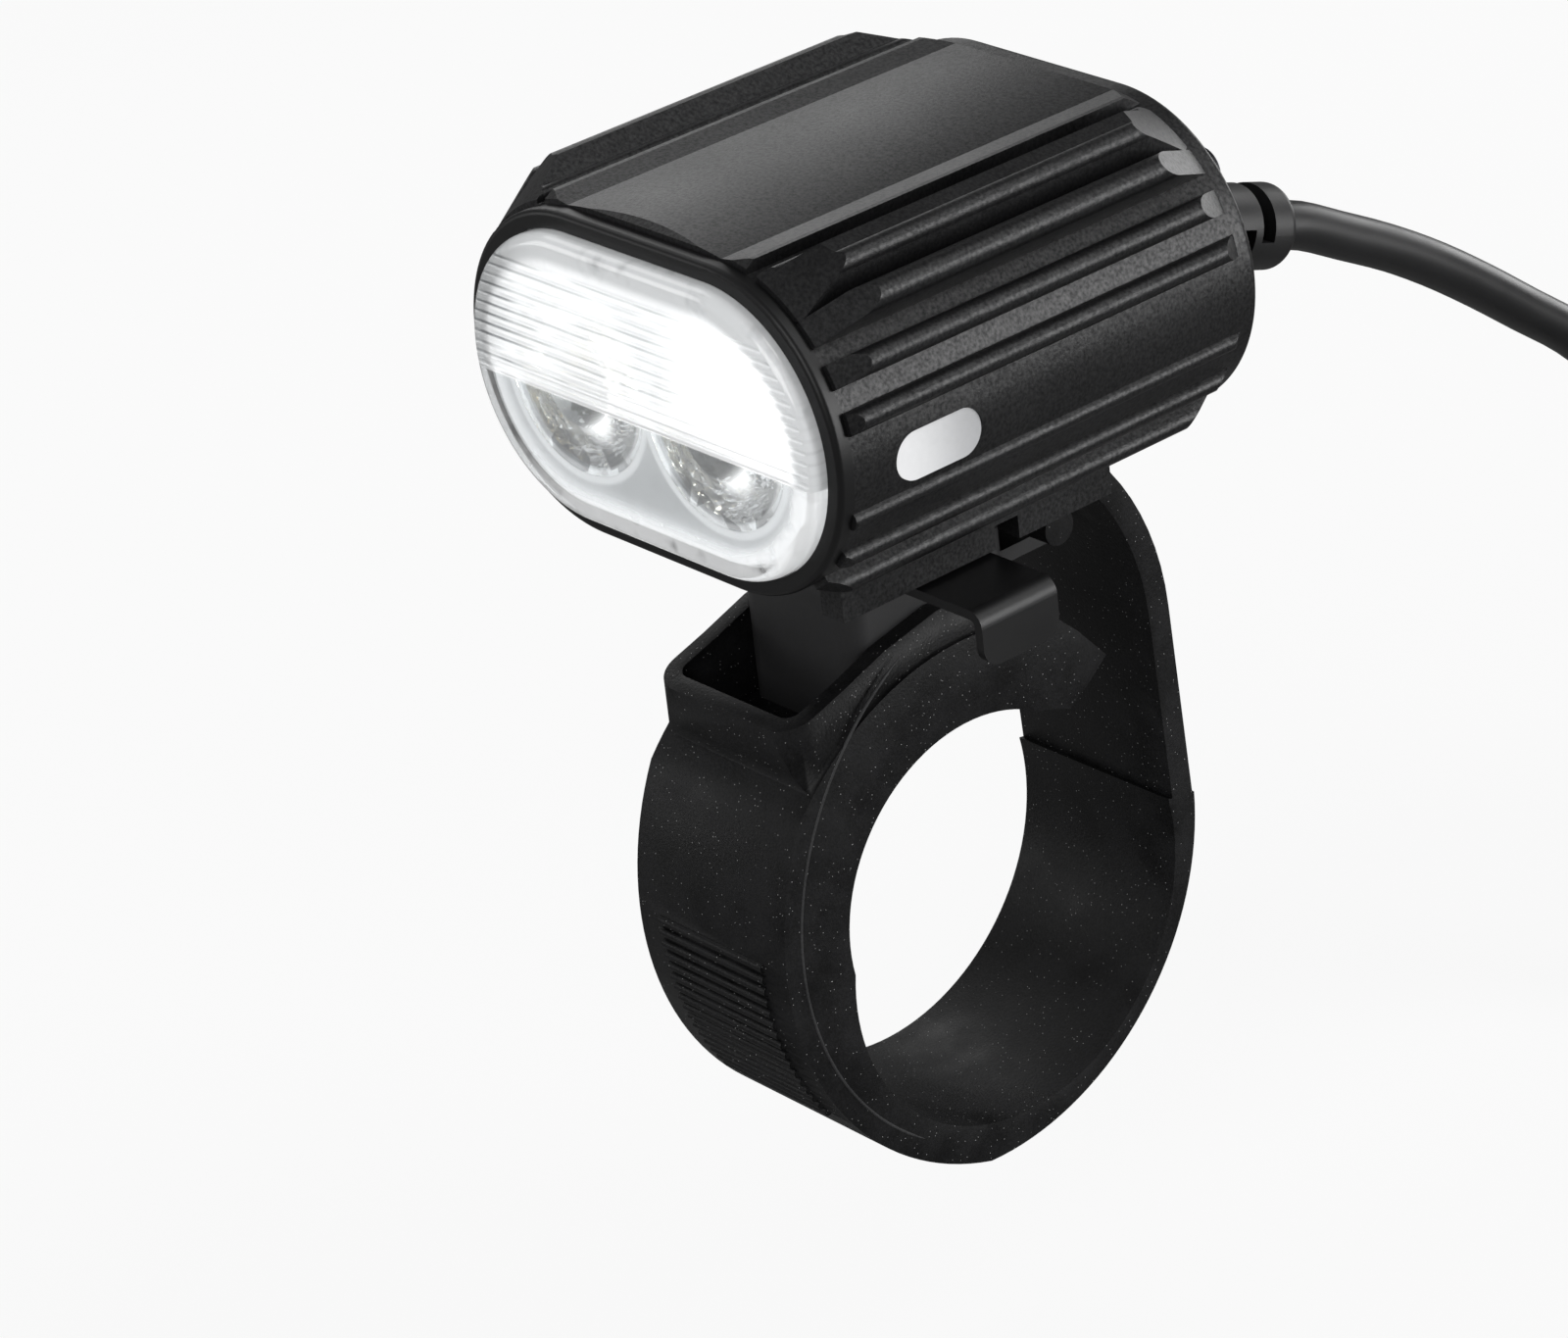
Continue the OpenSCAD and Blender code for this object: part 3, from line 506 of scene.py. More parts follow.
@dataclass(frozen=True)
class FlutedLens(Finish):
    """Clear moulded polycarbonate: its upper window is fluted, with a painted glow, a painted glare highlight
    and painted shade, and its lower part is clear, with a painted glow at the round edge.

    Radii are about the line between the light sources, and line_half is in pitches.
    """

    border_z: Step = (51.0, 51.2)
    window_round: Step = (11.6, 10.4)
    window_lit: float = 0.24
    window_milk: float = 0.42
    band_shade_tone: str = "#a9acae"
    band_share: float = 0.32
    line_pitch: float = 1.0
    line_half: Step = (0.24, 0.05)
    line_low: Step = (51.6, 51.8)
    line_high: Step = (63.3, 62.5)
    line_side: Step = (-14.5, -17.5)
    line_least: float = 0.6
    line_shade_tone: str = "#8d9092"
    streak_mm: float = 0.9
    streak_stretch: tuple = (0.12, 0.12, 1.0)
    streak: Step = (0.3, 0.62)
    glare: tuple[float, float] = (14.5, 57.5)
    glare_clears: Step = (4.0, 15.0)
    glare_round: Step = (12.0, 0.0)
    glare_lit: float = 0.22
    rim_round: Step = (9.9, 11.3)
    rim_side: Step = (-20.0, -9.0)
    rim_least: float = 0.3
    rim_cloud_mm: float = 2.6
    rim_cloud: Step = (0.1, 0.5)
    rim_lit: float = 0.16
    rim_milk: float = 0.5
    rim_hidden: float = 0.8
    clear: float = 0.97

    def upper(self, sketch: SurfaceSketch) -> Socket:
        """1 above the border between the fluted window and the clear part, and 0 below it."""
        return sketch.mask_mm(sketch.axes[2], self.border_z)

    def inner(self, sketch: SurfaceSketch) -> Socket:
        """1 inside the window's outline and 0 on the band round it."""
        return sketch.mask_mm(sketch.from_middle(), self.window_round)

    def from_glare(self, sketch: SurfaceSketch) -> Socket:
        """How far each point lies from the middle of the glare, in metres."""
        return sketch.length(*map(sketch.past, sketch.axes[::2], self.glare))

    def lines(self, sketch: SurfaceSketch) -> Socket:
        """Draw painted shade lines between the flutes: streaky, strongest at one side and lost in the painted
        glare.

        A line lies at every whole number of pitches above the lowest, and its width is in pitches.

        Args:
            sketch: Draws the finish.

        Returns:
            How much of its light each point loses, from 0 to 1.
        """
        across, _, height = sketch.axes
        below = sketch.past(height, self.line_low[0] - self.line_pitch / 2)
        turn = sketch.math("FRACT", sketch.product(below, per_metre(self.line_pitch)))
        return sketch.product(
            sketch.mask(sketch.math("ABSOLUTE", sketch.math("SUBTRACT", turn, 0.5)), *self.line_half),
            sketch.mask(sketch.noise(self.streak_mm, self.streak_stretch), *self.streak),
            sketch.mask_mm(height, self.line_low),
            sketch.mask_mm(across, self.line_side, self.line_least),
            sketch.mask_mm(height, self.line_high),
            sketch.mask_mm(self.from_glare(sketch), self.glare_clears),
        )

    def over_colour(self, sketch: SurfaceSketch, colour: Socket) -> Socket:
        """Paint shade: grey the band round the window and darken the lines in it.

        Args:
            sketch: Draws the finish.
            colour: The plain colour.

        Returns:
            The colour with the painted shade of the band and the lines over it.
        """
        upper = self.upper(sketch)
        band = sketch.product(upper, sketch.rest(self.inner(sketch)), self.band_share)
        colour = sketch.blend(band, colour, linear(self.band_shade_tone))
        return sketch.blend(sketch.product(upper, self.lines(sketch)), colour, linear(self.line_shade_tone))

    def extra(self, sketch: SurfaceSketch) -> None:
        """Paint a glow and a glare highlight on the fluted window, leave the lower part clear, and make the
        round edge milky with a painted glow.

        Args:
            sketch: Draws the finish.
        """
        upper, inner = self.upper(sketch), self.inner(sketch)
        rim = sketch.product(
            sketch.mask_mm(sketch.from_middle(), self.rim_round),
            sketch.mask_mm(sketch.axes[0], self.rim_side, self.rim_least),
            sketch.mask(sketch.noise(self.rim_cloud_mm), *self.rim_cloud),
        )
        near = sketch.mask_mm(self.from_glare(sketch), self.glare_round)
        level = sketch.total(sketch.product(near, self.glare_lit), self.window_lit)
        window = sketch.product(upper, inner, level, sketch.rest(self.lines(sketch)))
        below = sketch.rest(sketch.product(upper, self.rim_hidden))
        milk = sketch.total(sketch.product(upper, self.window_milk), sketch.product(rim, self.rim_milk))
        sketch.wear(
            Emission_Color=WHITE,
            Emission_Strength=sketch.total(window, sketch.product(rim, below, self.rim_lit)),
            Transmission_Weight=sketch.math("SUBTRACT", self.clear, milk),
        )


@dataclass(frozen=True)
class CircuitBoard(Finish):
    """Solder mask over copper tracks, with the tracks a shade lighter."""

    track: str = "#2f7a45"
    track_pitch_mm: float = 1.6
    track_edge: Step = (0.85, 0.95)

    def over_colour(self, sketch: SurfaceSketch, colour: Socket) -> Socket:
        """Draw tracks as the straight borders of square cells."""
        cells = sketch.cells(self.track_pitch_mm, distance="MANHATTAN", feature="F2")
        return sketch.blend(sketch.mask(cells["Distance"], *self.track_edge), colour, linear(self.track))


# Bead-blasted aluminium, dyed black in the oxide: deep grey with a wide satin highlight and a fine grain.
# The real grain is about 0.05 mm. It is drawn at 0.22 mm, and its glints at 0.34 mm, so that it shows.
ANODISED = BlastedMetal(
    "black_anodised_aluminium", "anodised", "#1b1b1c", 0.41, metallic=0.35, texture=Texture.BLASTED,
    grain_mm=0.22, grain_depth_mm=0.022, tone_spread=0.32, gloss_spread=0.03, cloud_mm=14,
)
# The same oxide on a turned ring: smoother and darker than the blasted body.
ANODISED_RING = Finish(
    "black_anodised_turned_ring", "anodised", "#111112", 0.42, metallic=0.3, texture=Texture.BLASTED,
    grain_mm=0.16, grain_depth_mm=0.003, tone_spread=0.12, gloss_spread=0.03, cloud_mm=14,
)
# Moulded silicone rubber: matt black, faintly clouded, with pale dust on it.
STRAP_RUBBER = DustyRubber(
    "moulded_silicone_rubber", "strap_rubber", "#111112", 0.48, ior=1.42, grain_mm=0.26,
    grain_depth_mm=0.03, tone_spread=0.7, gloss_spread=0.08, cloud_mm=4,
)
# The same rubber on the thin parting bead, made paler as a painted highlight along it.
BEAD_RUBBER = Finish(
    "moulded_silicone_bead", "strap_rubber", "#2f2f30", 0.5, ior=1.42, grain_mm=0.26, grain_depth_mm=0.01,
    tone_spread=0.3, cloud_mm=4,
)
# Nitrile gasket and seal: dull black.
SEAL = Finish("nitrile_rubber_seal", "seal", "#141414", 0.62, grain_mm=0.25, grain_depth_mm=0.008)
# Extruded soft PVC over a two-core lead: black with a long soft highlight.
LEAD_PVC = Finish(
    "extruded_pvc_lead", "lead", "#161617", 0.42, ior=1.52, grain_mm=0.3, grain_depth_mm=0.004,
    tone_spread=0.2, gloss_spread=0.05, cloud_mm=7,
)
# Over-moulded PVC of the plug and the reliefs: a little rougher than the lead.
MOULDED_PVC = Finish(
    "moulded_pvc_relief", "plug", "#151516", 0.46, ior=1.52, grain_mm=0.3, grain_depth_mm=0.008, cloud_mm=6
)
# Glass-filled nylon of the mount block: smooth dark grey with a spark texture.
BLOCK_NYLON = Finish(
    "glass_filled_nylon", "block_plastic", "#242425", 0.50, ior=1.53, grain_mm=0.22,
    grain_depth_mm=0.008, tone_spread=0.15, gloss_spread=0.04, cloud_mm=8,
)
# Spring steel with a black electro-coat: thin, glossy along its bends.
BLACK_STEEL = Finish(
    "black_coated_spring_steel", "black_steel", "#111112", 0.42, metallic=0.2, grain_mm=0.3,
    grain_depth_mm=0.003, tone_spread=0.15, gloss_spread=0.04, cloud_mm=6,
)
# Stainless screws and pin: bright, with fine turning lines.
STEEL = Finish(
    "stainless_steel", "steel", "#a6a6a8", 0.28, metallic=1.0, texture=Texture.BRUSHED, grain_mm=0.12,
    grain_depth_mm=0.002, tone_spread=0.1, gloss_spread=0.05, cloud_mm=4,
)
# Black-oxide steel of the screws in the cap: dark grey metal with a faint oily sheen.
DARK_STEEL = Finish(
    "black_oxide_steel", "steel", "#2b2b2d", 0.42, metallic=1.0, grain_mm=0.15, grain_depth_mm=0.002,
    tone_spread=0.15, gloss_spread=0.05, cloud_mm=3,
)
# Machined aluminium of the heat block: pale, with cutter lines.
BARE_ALUMINIUM = Finish(
    "machined_aluminium", "bare_aluminium", "#c4c5c7", 0.34, metallic=1.0, texture=Texture.BRUSHED,
    grain_mm=0.2, grain_depth_mm=0.003, tone_spread=0.08, gloss_spread=0.06, cloud_mm=6,
)
# Clear polycarbonate of the lens: smooth as its polished mould, with a painted glow, a painted glare highlight
# and painted shade lines in its fluted window.
LENS = FlutedLens(
    "moulded_polycarbonate_lens", "lens", "#f4f6f7", 0.05, ior=1.585, grain_mm=2.0, grain_depth_mm=0.001,
    tone_spread=0.02, gloss_spread=0.02, cloud_mm=12,
)
# Acrylic collimators: clear, with a painted glow and a painted highlight of the light from the light sources,
# and a painted dark reflection in the lower facets.
OPTIC = FacetedOptic(
    "moulded_acrylic_optic", "lens", "#eef1f2", 0.04, ior=1.49, texture=Texture.FACETED, grain_mm=1.5,
    grain_depth_mm=0.16, tone_spread=0.03, gloss_spread=0.02, cloud_mm=6, strength=0.04, clear=0.96,
    ring_round=8.5, ring_mm=0.5, ring_lit=0.25, edge_lit=0.0,
)
# Milky polycarbonate of the holder and the side windows: white, with a painted glow as if lit softly from
# inside, strongest in rings round the lights and at the outer edge.
MILKY = RingedGlow(
    "milky_polycarbonate", "milky", "#e4e5e6", 0.40, ior=1.585, grain_mm=0.6, grain_depth_mm=0.004,
    tone_spread=0.03, gloss_spread=0.04, cloud_mm=8, strength=0.03, clear=0.1, ring_round=9.2, ring_mm=0.6,
    ring_lit=0.3, edge_lit=0.3,
)
# The same plastic in the side windows, its colour darker as painted shade, under a painted glow that fades
# along it.
WINDOW = WindowGlow(
    "milky_side_window", "milky", "#a6a7a9", 0.35, ior=1.585, grain_mm=0.6, grain_depth_mm=0.004,
    tone_spread=0.05, gloss_spread=0.04, cloud_mm=6, strength=0.42, clear=0.02,
)
# The light sources: yellow phosphor under silicone domes, lit.
LIGHT_SOURCE = Glow(
    "lit_phosphor_dome", "light_source", "#f3e6b4", 0.25, ior=1.41, grain_mm=0.5, tone_spread=0.05,
    glow="#fff8ee", strength=20.0,
)
SIDE_LIGHT = Glow(
    "side_light_chip", "light_source", "#f2d870", 0.3, ior=1.41, grain_mm=0.5, tone_spread=0.05,
    glow="#fff6e8", strength=0.5,
)
# White solder mask of the light board.
BOARD_WHITE = CircuitBoard(
    "white_solder_mask", "board_white", "#dcdad2", 0.45, grain_mm=0.5, grain_depth_mm=0.006,
    tone_spread=0.05, track="#cfcabb",
)
# Green solder mask of the driver board.
BOARD_GREEN = CircuitBoard(
    "green_solder_mask", "board_green", "#1c5a33", 0.38, grain_mm=0.5, grain_depth_mm=0.006, tone_spread=0.12
)
# Moulded epoxy of the driver's components.
COMPONENT = Finish("moulded_epoxy", "component", "#202022", 0.45, grain_mm=0.2, grain_depth_mm=0.006)
# Insulated wires.
WIRE = Finish("insulated_wire", "wire", "#8f1d1d", 0.38, grain_mm=0.5, grain_depth_mm=0.003, tone_spread=0.1)
# Gold-plated contacts.
CONTACT = Finish(
    "gold_plated_brass", "contacts", "#d8b25a", 0.25, metallic=1.0, texture=Texture.BRUSHED, grain_mm=0.15,
    grain_depth_mm=0.002, tone_spread=0.06, cloud_mm=3,
)


class Wardrobe:
    """Builds each finish once and puts it on CAD nodes and new pieces."""

    def __init__(self, frame: dict) -> None:
        """Keep the frame that holds the CAD nodes."""
        self.nodes = frame["nodes"]
        self.made: dict[str, bpy.types.Material] = {}

    def get(self, finish: Finish) -> bpy.types.Material:
        """The finish's one material, built when it is first asked for."""
        return self.made.get(finish.name) or self.made.setdefault(finish.name, finish.material())

    def dress(self, finish: Finish, *names: str) -> None:
        """Give CAD nodes a finish.

        Args:
            finish: The finish.
            names: The nodes' names.
        """
        for name in names:
            self.put(self.nodes[name], finish)
            log.info("node %s wears %s", name, finish.name)

    def put(self, piece: bpy.types.Object, finish: Finish) -> None:
        """Fill every material slot of a piece with a finish.

        Args:
            piece: The piece.
            finish: The finish.
        """
        if not piece.material_slots:
            piece.data.materials.append(None)
        for slot in piece.material_slots:
            slot.material = self.get(finish)

    def settle(self, piece: bpy.types.Object, finish: Finish, body: Body) -> bpy.types.Object:
        """Finish a new piece and let it ride.

        Args:
            piece: The new piece.
            finish: Its finish.
            body: The body that it rides on.

        Returns:
            The piece.
        """
        self.put(piece, finish)
        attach(piece, body.value)
        log.info("piece %s rides on %s in %s", piece.name, body.value, finish.name)
        return piece


# ---- meshes


def link(name: str, data: bpy.types.ID) -> bpy.types.Object:
    """Put new data into the scene as an object at the origin.

    Args:
        name: The object's name.
        data: Its mesh, curve, camera or light.

    Returns:
        The object.
    """
    piece = bpy.data.objects.new(name, data)
    bpy.context.scene.collection.objects.link(piece)
    return piece


def tube_mesh(name: str, points: np.ndarray) -> bpy.types.Object:
    """Make a smooth mesh from a grid of points whose columns go round.

    Args:
        name: The piece's name.
        points: Rows by columns by 3, in millimetres. Faces look along (row step) x (column step).

    Returns:
        The object, at the origin.
    """
    rows, columns = points.shape[:2]
    u, v = np.arange(rows - 1)[:, None] * columns, np.arange(columns)[None, :]
    up, right = u + columns, (v + 1) % columns
    quads = np.stack([u + v, up + v, up + right, u + right], axis=-1).reshape(-1, 4)
    mesh = bpy.data.meshes.new(name)
    mesh.from_pydata((points.reshape(-1, 3) * MM).tolist(), [], quads.tolist())
    mesh.polygons.foreach_set("use_smooth", np.ones(len(mesh.polygons), dtype=bool))
    mesh.update()
    return link(name, mesh)


def carried_circle(path: np.ndarray, radius: np.ndarray, around: int) -> np.ndarray:
    """Carry a circle along a path.

    The point at step i and angle a is path[i] + radius[i] (cos a * side + sin a * lift), where side and
    lift are square to the path's direction and side stays as close as it can to +X.

    Args:
        path: N by 3 points.
        radius: N radii; a radius near 0 closes an end.
        around: How many points go round.

    Returns:
        N by around by 3 points.
    """
    forward = np.gradient(path, axis=0)
    forward /= np.linalg.norm(forward, axis=1, keepdims=True)
    side = np.array([1.0, 0.0, 0.0]) - forward * forward[:, :1]
    side /= np.linalg.norm(side, axis=1, keepdims=True)
    lift = np.cross(side, forward)
    angle = np.linspace(0, 2 * np.pi, around, endpoint=False)
    ring = np.cos(angle)[None, :, None] * side[:, None] + np.sin(angle)[None, :, None] * lift[:, None]
    return path[:, None] + radius[:, None, None] * ring


def smooth_route(points: np.ndarray, per_span: int) -> np.ndarray:
    """Run one smooth curve through points.

    Each span is the Catmull-Rom cubic 0.5 (2b + (c - a) t + (2a - 5b + 4c - d) t^2 + (3b - a - 3c + d) t^3).

    Args:
        points: N by 3 points to pass through.
        per_span: Points made in each span.

    Returns:
        The points of the curve, with the last point of the route at its end.
    """
    padded = np.vstack([2 * points[0] - points[1], points, 2 * points[-1] - points[-2]])
    a, b, c, d = (padded[k : k + len(points) - 1, None] for k in range(4))
    t = (np.arange(per_span) / per_span)[None, :, None]
    span = 0.5 * (
        2 * b + (c - a) * t + (2 * a - 5 * b + 4 * c - d) * t**2 + (3 * b - a - 3 * c + d) * t**3
    )
    return np.vstack([span.reshape(-1, 3), points[-1]])


# ---- camera, floor and light


class BackdropSketch(Sketch):
    """Draws the floor or the world, which look different to different rays."""

    def __init__(self, owner: bpy.types.Material | bpy.types.World) -> None:
        """Start from an empty tree that knows which rays see it plainly and which see it mirrored.

        Args:
            owner: The floor's material, or the world.
        """
        super().__init__(owner)
        self.tree.nodes.clear()
        ray = self.node("ShaderNodeLightPath", {}).outputs
        self.seen = self.math("MAXIMUM", ray["Is Camera Ray"], ray["Is Transmission Ray"])
        self.glossy = ray["Is Glossy Ray"]


@dataclass
class Studio:
    """The camera of the photograph, a pale floor and soft studio lamps."""

    azimuth: float = 51.6
    elevation: float = 26.6
    roll: float = 6.54
    focal_px: float = 5785.0
    width_px: float = 1600.0
    sensor_mm: float = 36.0
    offset: tuple[float, float, float] = (11.186, -16.075, -514.662)
    floor_z: float = -46.2
    floor_half: float = 4000.0
    floor_white: float = 0.88
    floor_grey: str = "#d2d2d2"
    surround: float = 0.42
    mirrored: float = 0.14
    aim: tuple = (0, 5, 45)
    # Over and behind the lamp for its ribs, and in front for the strap: name, place, size and watts.
    softboxes: tuple = (
        ("rear_left_softbox", (-360, 205, 235), (200, 200), 0.27),
        ("overhead_softbox", (330, 330, 600), (240, 420), 1.0),
        ("front_left_softbox", (-520, -430, 120), (220, 300), 0.5),
        ("upper_left_softbox", (-330, -60, 390), (200, 200), 0.18),
        ("front_fill_softbox", (240, -640, 420), (500, 400), 2.2),
        ("rear_right_softbox", (590, 440, 150), (280, 420), 3.2),
        ("behind_softbox", (-110, 760, 130), (300, 420), 1.6),
    )

    def camera(self) -> None:
        """Place the camera at the photograph's viewpoint: a turn by azimuth and elevation, then the roll."""
        a, e, r = (math.radians(x) for x in (self.azimuth, self.elevation, self.roll))
        back = Vector((math.sin(a) * math.cos(e), -math.cos(a) * math.cos(e), math.sin(e)))
        right = Vector((math.cos(a), math.sin(a), 0))
        up = back.cross(right)
        cos_r, sin_r = math.cos(r), math.sin(r)
        rows = [cos_r * right - sin_r * up, sin_r * right + cos_r * up, back]
        turn = Matrix([list(row) for row in rows])
        place = -(turn.transposed() @ Vector(self.offset)) * MM
        data = bpy.data.cameras.new("photo_camera")
        data.sensor_fit = "HORIZONTAL"
        data.sensor_width = self.sensor_mm
        data.lens = self.focal_px / self.width_px * self.sensor_mm
        camera = link("photo_camera", data)
        camera.matrix_world = Matrix.Translation(place) @ turn.transposed().to_4x4()
        bpy.context.scene.camera = camera

    def floor(self) -> None:
        """Lay a large pale floor that keeps the shadow and looks white to the camera, metal and glass."""
        corners = np.array([(-1, -1), (1, -1), (1, 1), (-1, 1)]) * self.floor_half
        points = np.column_stack([corners, np.full(4, self.floor_z)]) * MM
        mesh = bpy.data.meshes.new("floor")
        mesh.from_pydata(points.tolist(), [], [(0, 1, 2, 3)])
        floor = link("floor", mesh)
        material = bpy.data.materials.new("pale_floor")
        sketch = BackdropSketch(material)
        strength = sketch.math("MAXIMUM", sketch.seen, sketch.product(sketch.glossy, self.mirrored))
        share = sketch.product(sketch.math("MAXIMUM", sketch.seen, sketch.glossy), self.floor_white)
        card = sketch.node("ShaderNodeBsdfDiffuse", {"Color": linear(self.floor_grey)}).outputs[0]
        glow = sketch.node("ShaderNodeEmission", {"Color": WHITE, "Strength": strength}).outputs[0]
        mixed = sketch.node("ShaderNodeMixShader", {0: share, 1: card, 2: glow}).outputs[0]
        sketch.node("ShaderNodeOutputMaterial", {0: mixed})
        mesh.materials.append(material)

    def world(self) -> None:
        """Surround the object with even soft light, white to the camera and through glass."""
        world = bpy.data.worlds.new("soft_studio")
        bpy.context.scene.world = world
        sketch = BackdropSketch(world)
        mirrored = sketch.product(sketch.glossy, self.surround - self.mirrored)
        dim = sketch.math("SUBTRACT", self.surround, mirrored)
        power = sketch.math("MAXIMUM", sketch.seen, dim)
        light = sketch.node("ShaderNodeBackground", {0: WHITE, 1: power}).outputs[0]
        sketch.node("ShaderNodeOutputWorld", {0: light})

    def softbox(self, name: str, place: tuple, size: tuple, power: float) -> None:
        """Hang one rectangular softbox that faces the aim.

        Args:
            name: The lamp's name.
            place: Where it hangs.
            size: Its width and height.
            power: Its power in watts.
        """
        data = bpy.data.lights.new(name, "AREA")
        data.shape = "RECTANGLE"
        data.size, data.size_y = (side * MM for side in size)
        data.energy = power
        lamp = link(name, data)
        lamp.visible_camera = False
        start, end = Vector(place) * MM, Vector(self.aim) * MM
        turn = (end - start).to_track_quat("-Z", "Y").to_matrix().to_4x4()
        lamp.matrix_world = Matrix.Translation(start) @ turn

    def build(self) -> None:
        """Make the floor, the world and the lamps."""
        self.floor()
        self.world()
        for softbox in self.softboxes:
            self.softbox(*softbox)
        bpy.context.scene.view_settings.view_transform = "Standard"


# ---- sub-assemblies


@dataclass
class Assembly:
    """A sub-assembly: each finish with the CAD nodes that wear it, and what is made over them."""

    outfit: tuple = ()

    def build(self, wardrobe: Wardrobe) -> None:
        """Dress the nodes."""
        for finish, *names in self.outfit:
            wardrobe.dress(finish, *names)


@dataclass
class BatteryLead(Assembly):
    """The lead: out of its relief, down behind the lamp, into a tied coil with its plug below."""

    outfit: tuple = ((MOULDED_PVC, "plug_relief", "plug_body"), (SEAL, "coil_tie"), (CONTACT, "plug_pins"))
    diameter: float = 4.5
    wire_steps: int = 5
    drop_steps: int = 3
    drop: tuple = (
        (10, 41, 49.1), (10, 45, 47.7), (10, 50, 45), (10, 56, 41.7), (10, 62, 37.9), (10, 68, 33.6),
        (10, 74, 29), (10, 80, 24.4), (10, 84.4, 19.8), (10, 87.2, 14), (10, 88.3, 8), (10, 88.3, 4),
    )
    coil_radius: float = 24.75
    coil_centre: tuple[float, float] = (113.05, -0.5)
    coil_start: float = 10.0
    coil_pitch: float = 5.3
    turns: int = 3
    per_turn: int = 28
    end_z: tuple[float, float] = (-5.0, -14.5)
    pieces: tuple = ("coil_tie", "plug_relief", "plug_body", "plug_pins")

    def coil(self) -> np.ndarray:
        """The coil's points.

        At turn t the point is (start + pitch t, cy - r cos 360t, cz - r sin 360t).

        Returns:
            N by 3 points.
        """
        t = np.linspace(0, self.turns, self.turns * self.per_turn + 1)
        angle = 2 * np.pi * t
        y, z = self.coil_centre
        out, down = self.coil_radius * np.cos(angle), self.coil_radius * np.sin(angle)
        return np.column_stack([self.coil_start + self.coil_pitch * t, y - out, z - down])

    def route(self) -> np.ndarray:
        """The whole lead, from the relief to the plug.

        Returns:
            N by 3 points.
        """
        drop = smooth_route(np.array(self.drop, dtype=float), self.drop_steps)
        coil = self.coil()
        tail = [(*coil[-1, :2], z) for z in self.end_z]
        return np.vstack([drop, coil, tail])

    def build(self, wardrobe: Wardrobe) -> None:
        """Args:
            wardrobe: Holds the finishes and nodes.
        """
        points = self.route()
        curve = bpy.data.curves.new("battery_lead", "CURVE")
        curve.dimensions = "3D"
        curve.bevel_depth = self.diameter / 2 * MM
        curve.bevel_resolution = self.wire_steps
        curve.use_fill_caps = True
        spline = curve.splines.new("POLY")
        spline.points.add(len(points) - 1)
        spline.points.foreach_set("co", np.column_stack([points * MM, np.ones(len(points))]).ravel())
        spline.use_smooth = True
        lead = link("battery_lead", curve)
        wardrobe.settle(lead, LEAD_PVC, Body.LAMP)
        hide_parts("cable", "cable_coil")
        super().build(wardrobe)


@dataclass
class LampBody(Assembly):
    """The anodised case with its bezel, rear cap, side windows and outlet relief."""

    outfit: tuple = (
        (ANODISED, "housing", "rear_cap"),
        (ANODISED_RING, "front_bezel"),
        (WINDOW, "window_right", "window_left"),
        (SIDE_LIGHT, "side_leds"),
        (SEAL, "rear_gasket"),
        (DARK_STEEL, "rear_screws"),
        (MOULDED_PVC, "strain_relief"),
    )


@dataclass
class LightEngine(Assembly):
    """The fluted lens, the two collimators and the lit board behind them."""

    outfit: tuple = (
        (LENS, "lens_cover"),
        (SEAL, "lens_gasket"),
        (MILKY, "optic_holder"),
        (OPTIC, "optic_right", "optic_left"),
        (BOARD_WHITE, "led_board"),
        (LIGHT_SOURCE, "led_right", "led_left"),
    )


@dataclass
class Electronics(Assembly):
    """The heat block with its driver board and wires inside the case."""

    outfit: tuple = (
        (BARE_ALUMINIUM, "heat_core"),
        (STEEL, "core_screws", "board_screws"),
        (BOARD_GREEN, "driver_board"),
        (COMPONENT, "driver_parts"),
        (WIRE, "lead_wires"),
    )


